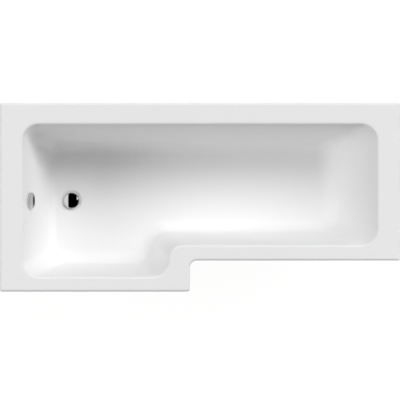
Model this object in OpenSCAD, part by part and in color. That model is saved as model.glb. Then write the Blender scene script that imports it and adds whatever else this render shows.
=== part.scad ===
// Shower bath with a square-cornered shower end, seen in the photograph from straight above.
// A vacuum-formed acrylic sheet with a laminated back, timber rim battens and a baseboard,
// standing on three leg bars with six screw feet, with its push-down waste and its overflow.
// X runs along the bath (waste end at -X, head end at +X), -Y is the open front, +Z is up.
// The origin is on the floor under the middle of the bath's outer rectangle.

/* [Outline] */
// Length over the rim
bath_length = 1800; // [1650:10:1900]
// Width over the rim at the shower end
shower_width = 850; // [800:5:900]
// Width over the rim at the narrow end
narrow_width = 710; // [670:5:750]
// Length of the shower end along the front
shower_length = 855; // [760:5:950]
// Height of the rim's top above the floor
rim_height = 560; // [530:5:620]
// Plan radius of the rim's outer corners
outer_corner_r = 8; // [6:1:14]
// Plan radius of the step's outer corner
step_corner_r = 15; // [8:1:25]
// Plan radius of the hollow corner where the step meets the narrow front
step_hollow_r = 32; // [20:1:45]

/* [Rim] */
// Width of the rim along the wall at the back
rim_back = 97; // [80:1:115]
// Width of the rim at the two ends
rim_end = 100; // [85:1:120]
// Width of the rim at the front of the shower end
rim_shower_front = 66; // [58:1:80]
// Width of the rim at the front of the narrow end
rim_narrow_front = 69; // [58:1:80]
// Width of the rim beside the step
rim_step = 95; // [85:1:110]
// Depth of the rim's outer lip
lip_depth = 40; // [30:1:50]
// Rounding of the rim's outer edge
lip_round = 11; // [7:1:13]
// Rounding of the rim's inner edge
rim_round = 12; // [9:1:18]

/* [Basin] */
// Depth from the rim to the floor at the waste
basin_depth = 410; // [380:5:430]
// Fall of the floor towards the waste, in per cent
floor_fall = 1.2; // [0.5:0.1:2]
// How far the wall at the waste end leans in, rim to floor
lean_waste_end = 126; // [100:2:150]
// How far the front walls lean in
lean_front = 66; // [50:2:80]
// How far the wall beside the step leans in
lean_step = 78; // [60:2:90]
// How far the backrest at the head end leans in
lean_head = 195; // [150:5:250]
// How far the back wall leans in
lean_back = 86; // [60:2:100]
// Plan radius of the basin's corners at the rim
basin_corner_r = 75; // [60:1:90]
// Plan radius of the basin's hollow corner at the rim
basin_hollow_r = 60; // [45:1:75]
// Radius between the walls and the floor
floor_round = 65; // [50:1:75]
// Radius between the wall at the waste end and the floor
floor_round_waste_end = 45; // [35:1:55]
// Radius between the backrest and the floor
floor_round_head = 115; // [90:5:130]
// Plan radius of the floor's corners
floor_corner_r = 28; // [20:1:40]
// Plan radius of the floor's hollow corner
floor_hollow_r = 110; // [80:5:120]

/* [Layers] */
// Thickness of the acrylic sheet
sheet = 4; // [3:0.5:5]
// Thickness of the laminate on its back
laminate = 4; // [3:0.5:5]
// Bond line between the laminate and the timber under it
bond = 0.05; // [0.02:0.01:0.2]
// Thickness of the baseboard
baseboard_t = 18; // [12:1:22]
// Gap from the floor's flat to the baseboard's edge
baseboard_margin = 5; // [2:1:20]
// Gap from the waste's recess to the baseboard's cut-out
baseboard_notch = 14; // [10:1:20]
// Thickness of the rim battens
batten_t = 18; // [12:1:25]
// Gap from the rim's outer and inner edges to a batten
batten_margin = 16; // [15:1:22]
// Gap between one batten and the next
batten_gap = 2; // [1:0.5:6]

/* [Leg bars] */
// Width of a leg bar
bar_w = 40; // [34:1:50]
// Depth of a leg bar
bar_h = 25; // [18:1:30]
// Thickness of the bars' steel
bar_t = 2; // [1.5:0.5:3]
// Distance from the waste to the first leg bar
bar_from_waste = 100; // [80:5:140]
// Distance from the head end to the last leg bar
bar_from_head = 420; // [400:10:480]
// Length of bar past a foot's rod
bar_past_rod = 22; // [16:1:35]
// Distance from the foot of the walls out to a rod
rod_from_wall = 45; // [38:1:55]
// Diameter of a wood screw's shank
screw_d = 5; // [4:0.5:6]
// Diameter of a wood screw's head
screw_head_d = 10; // [8:0.5:12]
// How far a wood screw goes into the timber
screw_bite = 14; // [8:1:16]

/* [Feet] */
// Diameter of the threaded rods
rod_d = 10; // [8:1:12]
// Radial clearance of a rod in its welded nut
rod_clearance = 0.06; // [0.02:0.01:0.1]
// Width of the nuts across their flats
nut_w = 17; // [15:1:19]
// Height of the nuts
nut_h = 8; // [6:1:10]
// How far a foot can be screwed out
foot_travel = 30; // [15:1:35]
// Diameter of a foot's pad
pad_d = 56; // [45:1:70]
// Height of a foot's pad
pad_h = 20; // [16:1:26]
// Depth of the socket that holds the rod
pad_socket = 12; // [8:1:14]

/* [Wall brackets] */
// Distance between the two wall brackets
bracket_spacing = 1100; // [900:10:1250]
// Width of a bracket
bracket_w = 40; // [30:1:60]
// Thickness of the brackets' steel
bracket_t = 2; // [1.5:0.5:3]
// Diameter of the wall screw's hole
bracket_hole_d = 6.5; // [5:0.5:8]
// Drop from the bracket's lower shelf to the hole
bracket_hole_drop = 24; // [15:1:30]
// Length of bracket below the hole
bracket_below_hole = 16; // [12:1:20]
// Gap from the rim's lip to a bracket's web, and from the lip's foot down to its shelf
bracket_lip_gap = 6; // [4:1:8]
// Distance from the back batten's inner edge to a bracket's end
bracket_setback = 10; // [6:1:16]
// Distance from a bracket's end to its first wood screw
bracket_screw_end = 12; // [10:1:16]
// Distance from a bracket's web to its second wood screw
bracket_screw_web = 16; // [12:1:20]

/* [Waste] */
// Distance from the outer edge of the waste end to the waste
waste_inset = 318; // [312:1:340]
// Diameter of the hole in the floor
waste_hole_d = 52; // [50:1:56]
// Diameter of the flange
flange_d = 73; // [70:1:76]
// Thickness of the flange
flange_t = 3; // [2.5:0.5:4]
// Width of the flange's flat rim, outside its dish
flange_land = 8; // [6:0.5:9]
// Depth of the recess that the flange sits in
recess_depth = 4; // [3:0.5:5]
// Gap round the flange in its recess
recess_gap = 2; // [1.5:0.5:4]
// Width of the recess's sloping side
recess_side = 10; // [5:0.5:12]
// Thickness of the gasket under the flange
gasket_t = 1.5; // [1:0.25:2]
// Outer diameter of the flange's tail
tail_d = 45; // [44:0.5:46]
// Thickness of the tail's wall
tail_wall = 2.5; // [2:0.5:3]
// Length of the tail under the flange
tail_len = 42; // [34:1:48]
// Thickness of the washer under the sheet
washer_t = 3; // [2:0.5:4]
// Outer diameter of the plastic waste body
body_d = 68; // [66:1:70]
// Height of the plastic waste body
body_h = 40; // [38:1:46]
// Outer diameter of the outlet's thread
outlet_d = 47.8; // [46:0.1:49]
// Length of the outlet's thread
outlet_len = 30; // [20:1:34]
// Bore of the outlet
outlet_bore = 38; // [36:1:40]
// Wall of the waste body
body_wall = 3.5; // [3:0.5:4]
// Depth of the side inlet's axis under the body's top
inlet_drop = 21; // [19:1:24]
// Length of the side inlet
inlet_len = 34; // [30:1:40]

/* [Plug] */
// Diameter of the plug's cap
cap_d = 68; // [62:1:70]
// Height of the cap
cap_h = 5.5; // [4.5:0.5:8]
// Travel of the plug between open and shut
plug_travel = 9; // [7:0.5:10]
// Gap between the shut plug and the flange
plug_gap = 0.3; // [0.25:0.05:0.6]
// Diameter of the plunger's rod
plunger_d = 7; // [6:0.5:8]
// Radial clearance of the plunger in its sleeve
plunger_clearance = 0.08; // [0.03:0.01:0.1]
// Outer diameter of the sleeve
sleeve_d = 16; // [15:0.5:18]
// Length of the sleeve under its head
sleeve_len = 29; // [27:1:32]
// Diameter of the spring's wire
spring_wire = 1; // [0.8:0.1:1.2]
// Number of turns of the spring
spring_turns = 7; // [5:1:9]

/* [Overflow] */
// Depth of the overflow's centre under the rim, along the wall
overflow_drop = 110; // [100:1:130]
// Diameter of the hole in the end wall
overflow_hole_d = 46; // [44:1:50]
// Diameter of the chrome cover
cover_d = 73; // [70:1:78]
// How far the cover stands out from the wall
cover_h = 14; // [11:1:18]
// Thickness of the cover
cover_t = 2; // [1.5:0.5:3]
// Width of the slot in the cover's face that lets the water in
slot_w = 26; // [20:1:30]
// Height of the slot
slot_h = 24; // [12:1:26]
// Radius of the slot's corners
slot_corner_r = 5; // [2:0.5:6]
// Distance from the slot down to the cover's edge
slot_edge = 4.5; // [4:0.5:6]
// Thickness of the gasket behind the wall
overflow_gasket_t = 3; // [2:0.5:4]
// Outer diameter of the bush that goes through the wall
bush_d = 42; // [40:1:43]
// Outer diameter of the elbow's round body
elbow_d = 48; // [47:1:54]
// Depth of the elbow behind its gasket
elbow_depth = 36; // [34:1:44]
// Distance from the elbow's middle down to its outlet's end
elbow_drop = 50; // [44:1:60]

/* [Overflow hose] */
// Diameter over the hose's ribs
hose_d = 31; // [29:0.5:32]
// Bore of the hose
hose_bore = 23; // [20:0.5:24]
// Depth of the ribs
rib_depth = 2; // [1:0.25:2.5]
// Distance from rib to rib
rib_pitch = 5.5; // [4:0.5:8]
// Length of the hose nuts
hose_nut_len = 24; // [18:1:26]
// Diameter of the hose nuts
hose_nut_d = 38; // [37:1:40]

/* [Hidden] */
$fn = 64;

// ---- Outline: sides and corners, anticlockwise from above -------------------------------
// Sides: waste end, shower front, step, narrow front, head end, back.
// Corner k is where side k begins; corner 3 is the hollow one.
WASTE_END = 0;
SHOWER_FRONT = 1;
STEP = 2;
NARROW_FRONT = 3;
HEAD_END = 4;
BACK = 5;
SIDES = [0:5];
HOLLOW = 3;
half_l = bath_length / 2;
half_w = shower_width / 2;
step_x = shower_length - half_l;
narrow_y = half_w - narrow_width;
rim = [rim_end, rim_shower_front, rim_step, rim_narrow_front, rim_end, rim_back];
lean = [lean_waste_end, lean_front, lean_step, lean_front, lean_head, lean_back];
foot_round = [for (s = SIDES)
    s == WASTE_END ? floor_round_waste_end : s == HEAD_END ? floor_round_head : floor_round];
outer_r = [for (c = SIDES) c == HOLLOW ? step_hollow_r : c == STEP ? step_corner_r : outer_corner_r];
// The step's two corners share its length, so their radii shrink together where it is short
step_len = shower_width - narrow_width + rim_narrow_front - rim_shower_front;
function fit(corner_r, hollow_r) = min(1, (step_len - 2) / (corner_r + hollow_r));
basin_fit = fit(basin_corner_r, basin_hollow_r);
floor_fit = fit(floor_corner_r, floor_hollow_r);
basin_r = [for (c = SIDES)
    c == HOLLOW ? basin_hollow_r * basin_fit : c == STEP ? basin_corner_r * basin_fit : basin_corner_r];
floor_r = [for (c = SIDES)
    c == HOLLOW ? floor_hollow_r * floor_fit : c == STEP ? floor_corner_r * floor_fit : floor_corner_r];
waste_x = waste_inset - half_l;
waste_y = (rim_shower_front - rim_back) / 2;
slope = floor_fall / 100;
floor_z = rim_height - basin_depth;

// Start angle and turn of each corner's arc, and the way from the corner to the arc's centre
ARC_TURN = [[90, 90], [180, 90], [270, 90], [180, -90], [270, 90], [0, 90]];
ARC_WAY = [[1, -1], [1, 1], [-1, 1], [1, -1], [-1, 1], [-1, -1]];
ARC_STEPS = 8;
RAY_STEP = 15;

// Height of the surface that lies h under a level rim, with the floor's fall worked in
function level(x, h) = rim_height - h + slope * (x - waste_x) * h / basin_depth;

// Side s of the basin: how far in from the outer edge its wall stands at depth h
function wall_inset(s, h) =
    let (tilt = atan(lean[s] / basin_depth),
         top = rim_round * tan((90 - tilt) / 2),
         foot = foot_round[s] * tan((90 - tilt) / 2))
    h < top * cos(tilt)
        ? rim[s] - top + sqrt(pow(rim_round, 2) - pow(rim_round - h, 2))
        : h > basin_depth - foot * cos(tilt)
            ? rim[s] + lean[s] + foot
              - sqrt(max(0, pow(foot_round[s], 2) - pow(h - basin_depth + foot_round[s], 2)))
            : rim[s] + h * lean[s] / basin_depth;

function wall_insets(h) = [for (s = SIDES) wall_inset(s, h)];

// Corner points of the outline drawn in by its own inset on each side
function corner_points(in) =
    let (left = in[WASTE_END] - half_l, right = half_l - in[HEAD_END],
         wide = in[SHOWER_FRONT] - half_w, narrow = narrow_y + in[NARROW_FRONT],
         step = step_x - in[STEP], back = half_w - in[BACK])
    [[left, back], [left, wide], [step, wide], [step, narrow], [right, narrow], [right, back]];

function arc(in, r, k) =
    let (centre = corner_points(in)[k] + r[k] * ARC_WAY[k])
    [for (i = [0:ARC_STEPS])
        let (a = ARC_TURN[k][0] + ARC_TURN[k][1] * i / ARC_STEPS)
        centre + r[k] * [cos(a), sin(a)]];

// Where rays from the waste cut side k of the floor, as shares of that side's length.
// Every ring is divided alike, so the floor runs on into an even circle round the waste.
floor_in = wall_insets(basin_depth);
function ray_shares(k) =
    let (from = arc(floor_in, floor_r, k)[ARC_STEPS] - [waste_x, waste_y],
         to = arc(floor_in, floor_r, (k + 1) % 6)[0] - [waste_x, waste_y],
         wide = acos(from * to / (norm(from) * norm(to))),
         parts = ceil(wide / RAY_STEP))
    [for (i = [1:1:parts - 1])
        let (near = norm(from) * sin(wide * i / parts),
             far = norm(to) * sin(wide * (parts - i) / parts))
        near / (near + far)];
shares = [for (k = SIDES) ray_shares(k)];

// One ring of the moulding: six arcs joined by divided straights, at depth h
function ring(in, r, h) =
    let (arcs = [for (k = SIDES) arc(in, r, k)])
    [for (k = SIDES)
        let (a = arcs[k][ARC_STEPS], b = arcs[(k + 1) % 6][0],
             run = concat(arcs[k], [for (t = shares[k]) a + t * (b - a)]))
        for (p = run) [p.x, p.y, level(p.x, h)]];

// ---- The moulding, as rings from the lip's lower edge to the waste's hole ----------------
LIP_STEPS = 3;
RIM_STEPS = 4;
FOOT_STEPS = 6;
// The steepest wall sets the last angle of the rim's rounding and the first of the floor's
upright = 90 - atan(min(lean) / basin_depth);
// Height of the tallest rounding between a wall and the floor
foot_h = max([for (s = SIDES) foot_round[s] * (1 - sin(atan(lean[s] / basin_depth)))]);
seat_r = flange_d / 2 + recess_gap;
recess_r = seat_r + recess_side;
seat_z = floor_z - recess_depth;

function evenly(in) = [for (s = SIDES) in];
function lip_ring(a, h) =
    let (in = lip_round * (1 - cos(a)))
    ring(evenly(in),
         [for (c = SIDES) c == HOLLOW ? outer_r[c] + in : max(outer_r[c] - in, sheet * cos(a) + 0.5)],
         h);
function rim_ring(a) =
    let (h = rim_round * (1 - cos(a)),
         in = wall_inset(BACK, h) - rim_back)
    ring(wall_insets(h), [for (c = SIDES) basin_r[c] + (c == HOLLOW ? in : -in)], h);
function foot_ring(a) =
    let (h = basin_depth - foot_h * (1 - cos(a)) / (1 - cos(upright)),
         done = 1 - sin(a) / sin(upright))
    ring(wall_insets(h), basin_r + done * (floor_r - basin_r), h);
floor_edge = foot_ring(0);
// A circle round the waste, met by each ray from the floor's edge
function waste_ring(r, flat_z) =
    [for (p = floor_edge)
        let (a = atan2(p.y - waste_y, p.x - waste_x), x = waste_x + r * cos(a))
        [x, waste_y + r * sin(a), is_undef(flat_z) ? level(x, basin_depth) : flat_z]];

moulding = concat(
    [lip_ring(0, lip_depth)],
    [for (i = [0:LIP_STEPS]) let (a = 90 * i / LIP_STEPS) lip_ring(a, lip_round * (1 - sin(a)))],
    [for (i = [0:RIM_STEPS]) rim_ring(upright * i / RIM_STEPS)],
    [for (i = [0:FOOT_STEPS]) foot_ring(upright * (1 - i / FOOT_STEPS))],
    [waste_ring(recess_r), waste_ring(seat_r, seat_z), waste_ring(waste_hole_d / 2, seat_z)]);
// The laminate starts where the rim is flat and stops short of the waste's recess
RIM_FLAT_RING = LIP_STEPS + 1;
FLOOR_RING = len(moulding) - 3;

function unit(v) = v / norm(v);
function square_to(g, k, j) =
    let (n = len(g[0]),
         across = g[min(k + 1, len(g) - 1)][j] - g[max(k - 1, 0)][j],
         along = g[k][(j + 1) % n] - g[k][(j + n - 1) % n])
    unit(cross(along, across));
// The same rings, one thickness behind the face
function behind(g, t) =
    [for (k = [0:len(g) - 1]) [for (j = [0:len(g[0]) - 1]) g[k][j] - t * square_to(g, k, j)]];

sheet_back = behind(moulding, sheet);
laminate_face = [for (k = [RIM_FLAT_RING:FLOOR_RING]) sheet_back[k]];

// A closed skin between a grid of rings and the grid behind it
module skin(face, back) {
    n = len(face[0]);
    m = len(face);
    function at(k, j) = k * n + j % n;
    polyhedron(
        points = [for (g = [face, back]) for (r = g) for (p = r) p],
        faces = concat(
            [for (k = [0:m - 2]) for (j = [0:n - 1]) each [
                [at(k, j), at(k + 1, j), at(k + 1, j + 1)],
                [at(k, j), at(k + 1, j + 1), at(k, j + 1)],
                [at(m + k, j), at(m + k + 1, j + 1), at(m + k + 1, j)],
                [at(m + k, j), at(m + k, j + 1), at(m + k + 1, j + 1)]]],
            [for (j = [0:n - 1]) each [
                [at(0, j), at(0, j + 1), at(m, j)],
                [at(0, j + 1), at(m, j + 1), at(m, j)],
                [at(m - 1, j + 1), at(m - 1, j), at(2 * m - 1, j)],
                [at(m - 1, j + 1), at(2 * m - 1, j), at(2 * m - 1, j + 1)]]]));
}

// ---- The overflow's place: on the flat of the end wall ----------------------------------
wall_top_h = rim_round * (1 - cos(upright));
wall_foot_h = basin_depth - foot_h;
function end_wall(h) =
    let (x = wall_inset(WASTE_END, h) - half_l) [x, waste_y, level(x, h)];
wall_top = end_wall(wall_top_h);
wall_way = unit(end_wall(wall_foot_h) - wall_top);
wall_tilt = atan(wall_way.x / -wall_way.z);
overflow_at = wall_top + (overflow_drop - wall_top_h) * wall_way;
skin_t = sheet + laminate;

// Local frame on the end wall: +Z out of the wall into the basin, +X down the wall
module on_end_wall() {
    translate(overflow_at)
        rotate([0, 90 - wall_tilt, 0])
            children();
}

module bath_shell() {
    color("white") difference() {
        skin(moulding, sheet_back);
        on_end_wall()
            cylinder(d = overflow_hole_d, h = 4 * sheet, center = true);
    }
}

module laminate_backing() {
    color("tan") difference() {
        skin(laminate_face, behind(laminate_face, laminate));
        on_end_wall()
            translate([0, 0, -2 * skin_t])
                cylinder(d = overflow_hole_d, h = 4 * skin_t);
    }
}

// ---- Baseboard, leg bars and feet --------------------------------------------------------
// Top of the baseboard, at the waste; it follows the floor's fall
board_z = floor_z - skin_t - bond;
board_reach = [for (s = SIDES) floor_in[s] + baseboard_margin];
notch_r = recess_r + baseboard_notch;
bar_x = [waste_x + bar_from_waste, (waste_x + bar_from_waste + half_l - bar_from_head) / 2,
         half_l - bar_from_head];
// A bar touches the board along its edge nearer the waste
function bar_top(x) = board_z + slope * (x - bar_w / 2 - waste_x) - baseboard_t - 2 * bond;
function wall_foot(s) = rim[s] + lean[s];
rod_back_y = half_w - wall_foot(BACK) + rod_from_wall;
rod_narrow_y = narrow_y + wall_foot(NARROW_FRONT) - rod_from_wall;
rod_wide_y = wall_foot(SHOWER_FRONT) - half_w - rod_from_wall;
function in_shower_end(x) = x < step_x - wall_foot(STEP);
function rod_front_y(x) = in_shower_end(x) ? rod_wide_y : rod_narrow_y;
rods = [for (x = bar_x) for (y = [rod_front_y(x), rod_back_y]) [x, y]];
board_front = [for (x = bar_x)
    in_shower_end(x) ? board_reach[SHOWER_FRONT] - half_w : narrow_y + board_reach[NARROW_FRONT]];
board_back = half_w - board_reach[BACK];
// Four screws to a bar, at shares of the board's width there
SCREW_SHARES = [0.08, 0.36, 0.64, 0.92];
bar_screw_at = [for (i = [0:2]) for (t = SCREW_SHARES)
    [bar_x[i], board_front[i] + t * (board_back - board_front[i]), bar_top(bar_x[i]) - bar_t]];

module wood_screw(bite) {
    cylinder(d = screw_d, h = bite - screw_d / 2);
    translate([0, 0, bite - screw_d / 2])
        cylinder(d1 = screw_d, d2 = 1, h = screw_d / 2);
    rotate_extrude()
        polygon([[0, 0], [0, -screw_d * 0.6], [screw_head_d * 0.3, -screw_d * 0.5],
                 [screw_head_d / 2, -screw_d * 0.2], [screw_head_d / 2, 0]]);
}

module bar_screw_holes(extra) {
    for (p = bar_screw_at)
        translate(p)
            cylinder(d = screw_d + 2 * bond, h = screw_bite + bar_t + extra);
}

module baseboard() {
    color("burlywood") difference() {
        translate([waste_x, 0, board_z])
            rotate([0, -atan(slope), 0])
                translate([-waste_x, 0, -baseboard_t])
                    linear_extrude(baseboard_t)
                        polygon(corner_points(board_reach));
        translate([waste_x, waste_y, board_z - 2 * baseboard_t])
            cylinder(r = notch_r, h = 4 * baseboard_t);
        bar_screw_holes(1);
    }
}

module leg_bar(i) {
    x = bar_x[i];
    front = rod_front_y(x) - bar_past_rod;
    back = rod_back_y + bar_past_rod;
    color("silver") difference() {
        translate([x, back, bar_top(x)])
            rotate([90, 0, 0])
                linear_extrude(back - front)
                    difference() {
                        translate([-bar_w / 2, -bar_h])
                            square([bar_w, bar_h]);
                        translate([bar_t - bar_w / 2, -bar_h - 1])
                            square([bar_w - 2 * bar_t, bar_h - bar_t + 1]);
                    }
        for (y = [rod_front_y(x), rod_back_y])
            translate([x, y, bar_top(x) - bar_h])
                cylinder(d = rod_d + 1, h = bar_h + 1);
        translate([0, 0, -1])
            bar_screw_holes(1);
    }
}

module nut(bore) {
    difference() {
        cylinder(d = nut_w / cos(30), h = nut_h, $fn = 6);
        translate([0, 0, -1])
            cylinder(d = bore, h = nut_h + 2);
    }
}

module welded_nuts() {
    color("silver")
        for (p = rods)
            translate([p.x, p.y, bar_top(p.x) + bond])
                nut(rod_d + 2 * rod_clearance);
}

module bar_screws() {
    color("gainsboro")
        for (p = bar_screw_at)
            translate([p.x, p.y, p.z - bond])
                wood_screw(screw_bite + bar_t);
}

// Feet: pad, rod and lock nut move together when the rod is turned
module foot_pad(i) {
    edge = 3;
    neck_r = rod_d / 2 + 5;
    color("dimgray") translate([rods[i].x, rods[i].y, 0])
        rotate_extrude()
            polygon([[0, 0], [pad_d / 2 - 1, 0], [pad_d / 2, 1], [pad_d / 2, edge],
                     [pad_d / 2 - 2, edge + 2], [neck_r + 4, edge + 4], [neck_r, edge + 8],
                     [neck_r, pad_h], [rod_d / 2 + 0.1, pad_h],
                     [rod_d / 2 + 0.1, pad_h - pad_socket], [0, pad_h - pad_socket]]);
}

module foot_rod(i) {
    bottom = pad_h - pad_socket + bond;
    top = bar_top(rods[i].x) + nut_h + foot_travel + 5;
    color("lightgray") translate([rods[i].x, rods[i].y, bottom])
        rotate_extrude()
            polygon([[0, 0], [rod_d / 2 - 1, 0], [rod_d / 2, 1], [rod_d / 2, top - bottom - 1],
                     [rod_d / 2 - 1, top - bottom], [0, top - bottom]]);
}

module lock_nut(i) {
    color("lightgray")
        translate([rods[i].x, rods[i].y, bar_top(rods[i].x) - bar_t - bond - nut_h])
            nut(rod_d + 2 * bond);
}

// ---- Rim battens -------------------------------------------------------------------------
batten_top = rim_height - skin_t - bond;
// Outer and inner edges of each side's batten, as distances in from the outer edge
near = batten_margin;
function far(s) = rim[s] - batten_margin;

module batten(x0, y0, x1, y1) {
    color("burlywood")
        translate([x0, y0, batten_top - batten_t])
            cube([x1 - x0, y1 - y0, batten_t]);
}

module rim_batten_back() {
    difference() {
        batten(near - half_l, half_w - far(BACK), half_l - near, half_w - near);
        bracket_screw_holes();
    }
}

module rim_batten_head_end() {
    batten(half_l - far(HEAD_END), narrow_y + near, half_l - near,
           half_w - far(BACK) - batten_gap);
}

module rim_batten_waste_end() {
    batten(near - half_l, near - half_w, far(WASTE_END) - half_l,
           half_w - far(BACK) - batten_gap);
}

module rim_batten_narrow_front() {
    batten(step_x - near + batten_gap, narrow_y + near,
           half_l - far(HEAD_END) - batten_gap, narrow_y + far(NARROW_FRONT));
}

module rim_batten_step() {
    batten(step_x - far(STEP), far(SHOWER_FRONT) - half_w + batten_gap,
           step_x - near, narrow_y + near);
}

module rim_batten_shower_front() {
    batten(far(WASTE_END) - half_l + batten_gap, near - half_w,
           step_x - near, far(SHOWER_FRONT) - half_w);
}

// ---- Wall brackets -----------------------------------------------------------------------
// Cranked strip: under the back batten, down inside the lip, out under it, down the wall
bracket_z = batten_top - batten_t - bond;
bracket_reach = half_w - far(BACK) + bracket_setback;
bracket_shelf = rim_height - lip_depth - bracket_lip_gap;
bracket_web = half_w - sheet - bracket_lip_gap;
bracket_screw_y = [bracket_reach + bracket_screw_end, bracket_web - bracket_screw_web];

module wall_bracket(x) {
    t = bracket_t;
    bottom = bracket_shelf - bracket_hole_drop - bracket_below_hole;
    color("silver") difference() {
        translate([x - bracket_w / 2, 0, 0])
            rotate([90, 0, 90])
                linear_extrude(bracket_w)
                    polygon([[bracket_reach, bracket_z], [bracket_web, bracket_z],
                             [bracket_web, bracket_shelf], [half_w, bracket_shelf],
                             [half_w, bottom], [half_w - t, bottom],
                             [half_w - t, bracket_shelf - t], [bracket_web - t, bracket_shelf - t],
                             [bracket_web - t, bracket_z - t], [bracket_reach, bracket_z - t]]);
        translate([x, half_w + 1, bracket_shelf - bracket_hole_drop])
            rotate([90, 0, 0])
                cylinder(d = bracket_hole_d, h = t + 2);
        translate([0, 0, -bracket_t])
            bracket_screw_holes();
    }
}

module bracket_screw_holes() {
    for (x = [-1, 1] * bracket_spacing / 2)
        for (y = bracket_screw_y)
            translate([x, y, bracket_z - bracket_t])
                cylinder(d = screw_d + 2 * bond, h = screw_bite + 2 * bracket_t);
}

module bracket_screws() {
    color("gainsboro")
        for (x = [-1, 1] * bracket_spacing / 2)
            for (y = bracket_screw_y)
                translate([x, y, bracket_z - bracket_t - bond])
                    wood_screw(screw_bite);
}

// ---- Waste -------------------------------------------------------------------------------
flange_z = seat_z + gasket_t;
flange_top = flange_z + flange_t;
tail_r = tail_d / 2;
tail_bore_r = tail_r - tail_wall;
body_top = seat_z - sheet - washer_t;
body_bottom = body_top - body_h;
inlet_z = body_top - inlet_drop;
inlet_x = waste_x - body_d / 2 - inlet_len;
// The flange's top is dished, from its rim down to the mouth of the tail
dish_r = flange_d / 2 - flange_land;
dish_drop = 3.5;
mouth_r = tail_bore_r + 1.5;

module at_waste(z) {
    translate([waste_x, waste_y, z])
        children();
}

module waste_flange() {
    color("lightgray") difference() {
        at_waste(0)
            rotate_extrude()
                polygon([[tail_bore_r, flange_z - tail_len], [tail_r, flange_z - tail_len],
                         [tail_r, flange_z - dish_drop], [waste_hole_d / 2 - 1, flange_z],
                         [flange_d / 2, flange_z],
                         [flange_d / 2, flange_top - 1], [flange_d / 2 - 1, flange_top],
                         [dish_r, flange_top], [mouth_r, flange_top - dish_drop],
                         [tail_bore_r, flange_top - dish_drop - 2]]);
        // Four slots in the tail let the overflow's water in
        for (i = [0:3])
            at_waste(inlet_z - 5)
                rotate([0, 0, i * 90])
                    translate([0, -6, 0])
                        cube([tail_r + 1, 12, 10]);
    }
}

module flange_gasket() {
    color("black") at_waste(seat_z)
        difference() {
            cylinder(d = flange_d - 2, h = gasket_t);
            translate([0, 0, -1])
                cylinder(d = waste_hole_d, h = gasket_t + 2);
        }
}

module waste_washer() {
    color("black") at_waste(body_top)
        difference() {
            cylinder(d = body_d + 4, h = washer_t);
            translate([0, 0, -1])
                cylinder(d = waste_hole_d - 4, h = washer_t + 2);
        }
}

module waste_body() {
    collar_h = 8;
    chamber_r = body_d / 2 - body_wall;
    color("whitesmoke") difference() {
        union() {
            at_waste(0)
                rotate_extrude()
                    polygon([[0, body_top], [body_d / 2 + 2, body_top], [body_d / 2 + 2, body_top - 3],
                             [body_d / 2, body_top - 3], [body_d / 2, body_bottom + 8],
                             [outlet_d / 2 + 3, body_bottom], [outlet_d / 2, body_bottom],
                             [outlet_d / 2, body_bottom - outlet_len + 1],
                             [outlet_d / 2 - 1, body_bottom - outlet_len],
                             [0, body_bottom - outlet_len]]);
            translate([inlet_x, waste_y, inlet_z])
                rotate([0, 90, 0])
                    cylinder(d = hose_d - 3, h = waste_x - inlet_x);
        }
        at_waste(0)
            rotate_extrude()
                polygon([[0, body_top + 1], [tail_r + 0.2, body_top + 1],
                         [tail_r + 0.2, body_top - collar_h], [chamber_r, body_top - collar_h],
                         [chamber_r, body_bottom + 7], [outlet_bore / 2, body_bottom + 2],
                         [outlet_bore / 2, body_bottom - outlet_len - 1],
                         [0, body_bottom - outlet_len - 1]]);
        translate([inlet_x - 1, waste_y, inlet_z])
            rotate([0, 90, 0])
                cylinder(d = hose_bore - 2, h = waste_x - inlet_x);
    }
}

// ---- Plug and its push-down mechanism, drawn open -----------------------------------------
cap_boss_h = 4;
// The sleeve stays clear of the boss of the shut plug
head_gap = 1;
sleeve_head = 5;
sleeve_top = flange_top + plug_gap - cap_boss_h - head_gap;
sleeve_bottom = sleeve_top - sleeve_head - sleeve_len;
chamber_d = sleeve_d - 4;
neck_h = 3;
piston_h = 4;
piston_z = sleeve_top - neck_h - piston_h - 0.1;
spring_z = sleeve_bottom + 2 + bond;
cap_z = flange_top + plug_gap + plug_travel;
cap_boss_wall = 2.5;

// The sleeve is moulded with three arms that push into the tail of the flange
ARMS = 3;

module plug_sleeve() {
    arm_w = 3.5;
    arm_h = 6;
    head_z = sleeve_top - sleeve_head;
    arm_drop = 16;
    arm_z = head_z - arm_drop;
    color("white") at_waste(0) {
        rotate_extrude()
            polygon([[0, sleeve_bottom], [sleeve_d / 2, sleeve_bottom], [sleeve_d / 2, head_z],
                     [sleeve_d / 2 + 1.5, head_z], [sleeve_d / 2 + 1.5, sleeve_top - 1],
                     [sleeve_d / 2 + 0.5, sleeve_top], [plunger_d / 2 + plunger_clearance, sleeve_top],
                     [plunger_d / 2 + plunger_clearance, sleeve_top - neck_h],
                     [chamber_d / 2, sleeve_top - neck_h], [chamber_d / 2, sleeve_bottom + 2],
                     [0, sleeve_bottom + 2]]);
        intersection() {
            translate([0, 0, arm_z])
                cylinder(r = tail_bore_r - bond, h = arm_h);
            for (i = [0:ARMS - 1])
                rotate([0, 0, 90 + i * 360 / ARMS])
                    translate([sleeve_d / 2 - 0.5, -arm_w / 2, arm_z])
                        cube([tail_r, arm_w, arm_h]);
        }
    }
}

module plug_plunger() {
    top = cap_z + cap_h - 2 - bond;
    piston_r = chamber_d / 2 - 0.3;
    color("ivory") at_waste(0)
        rotate_extrude()
            polygon([[0, piston_z], [piston_r, piston_z], [piston_r, piston_z + piston_h],
                     [plunger_d / 2, piston_z + piston_h], [plunger_d / 2, top - 0.5],
                     [plunger_d / 2 - 0.5, top], [0, top]]);
}

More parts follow.
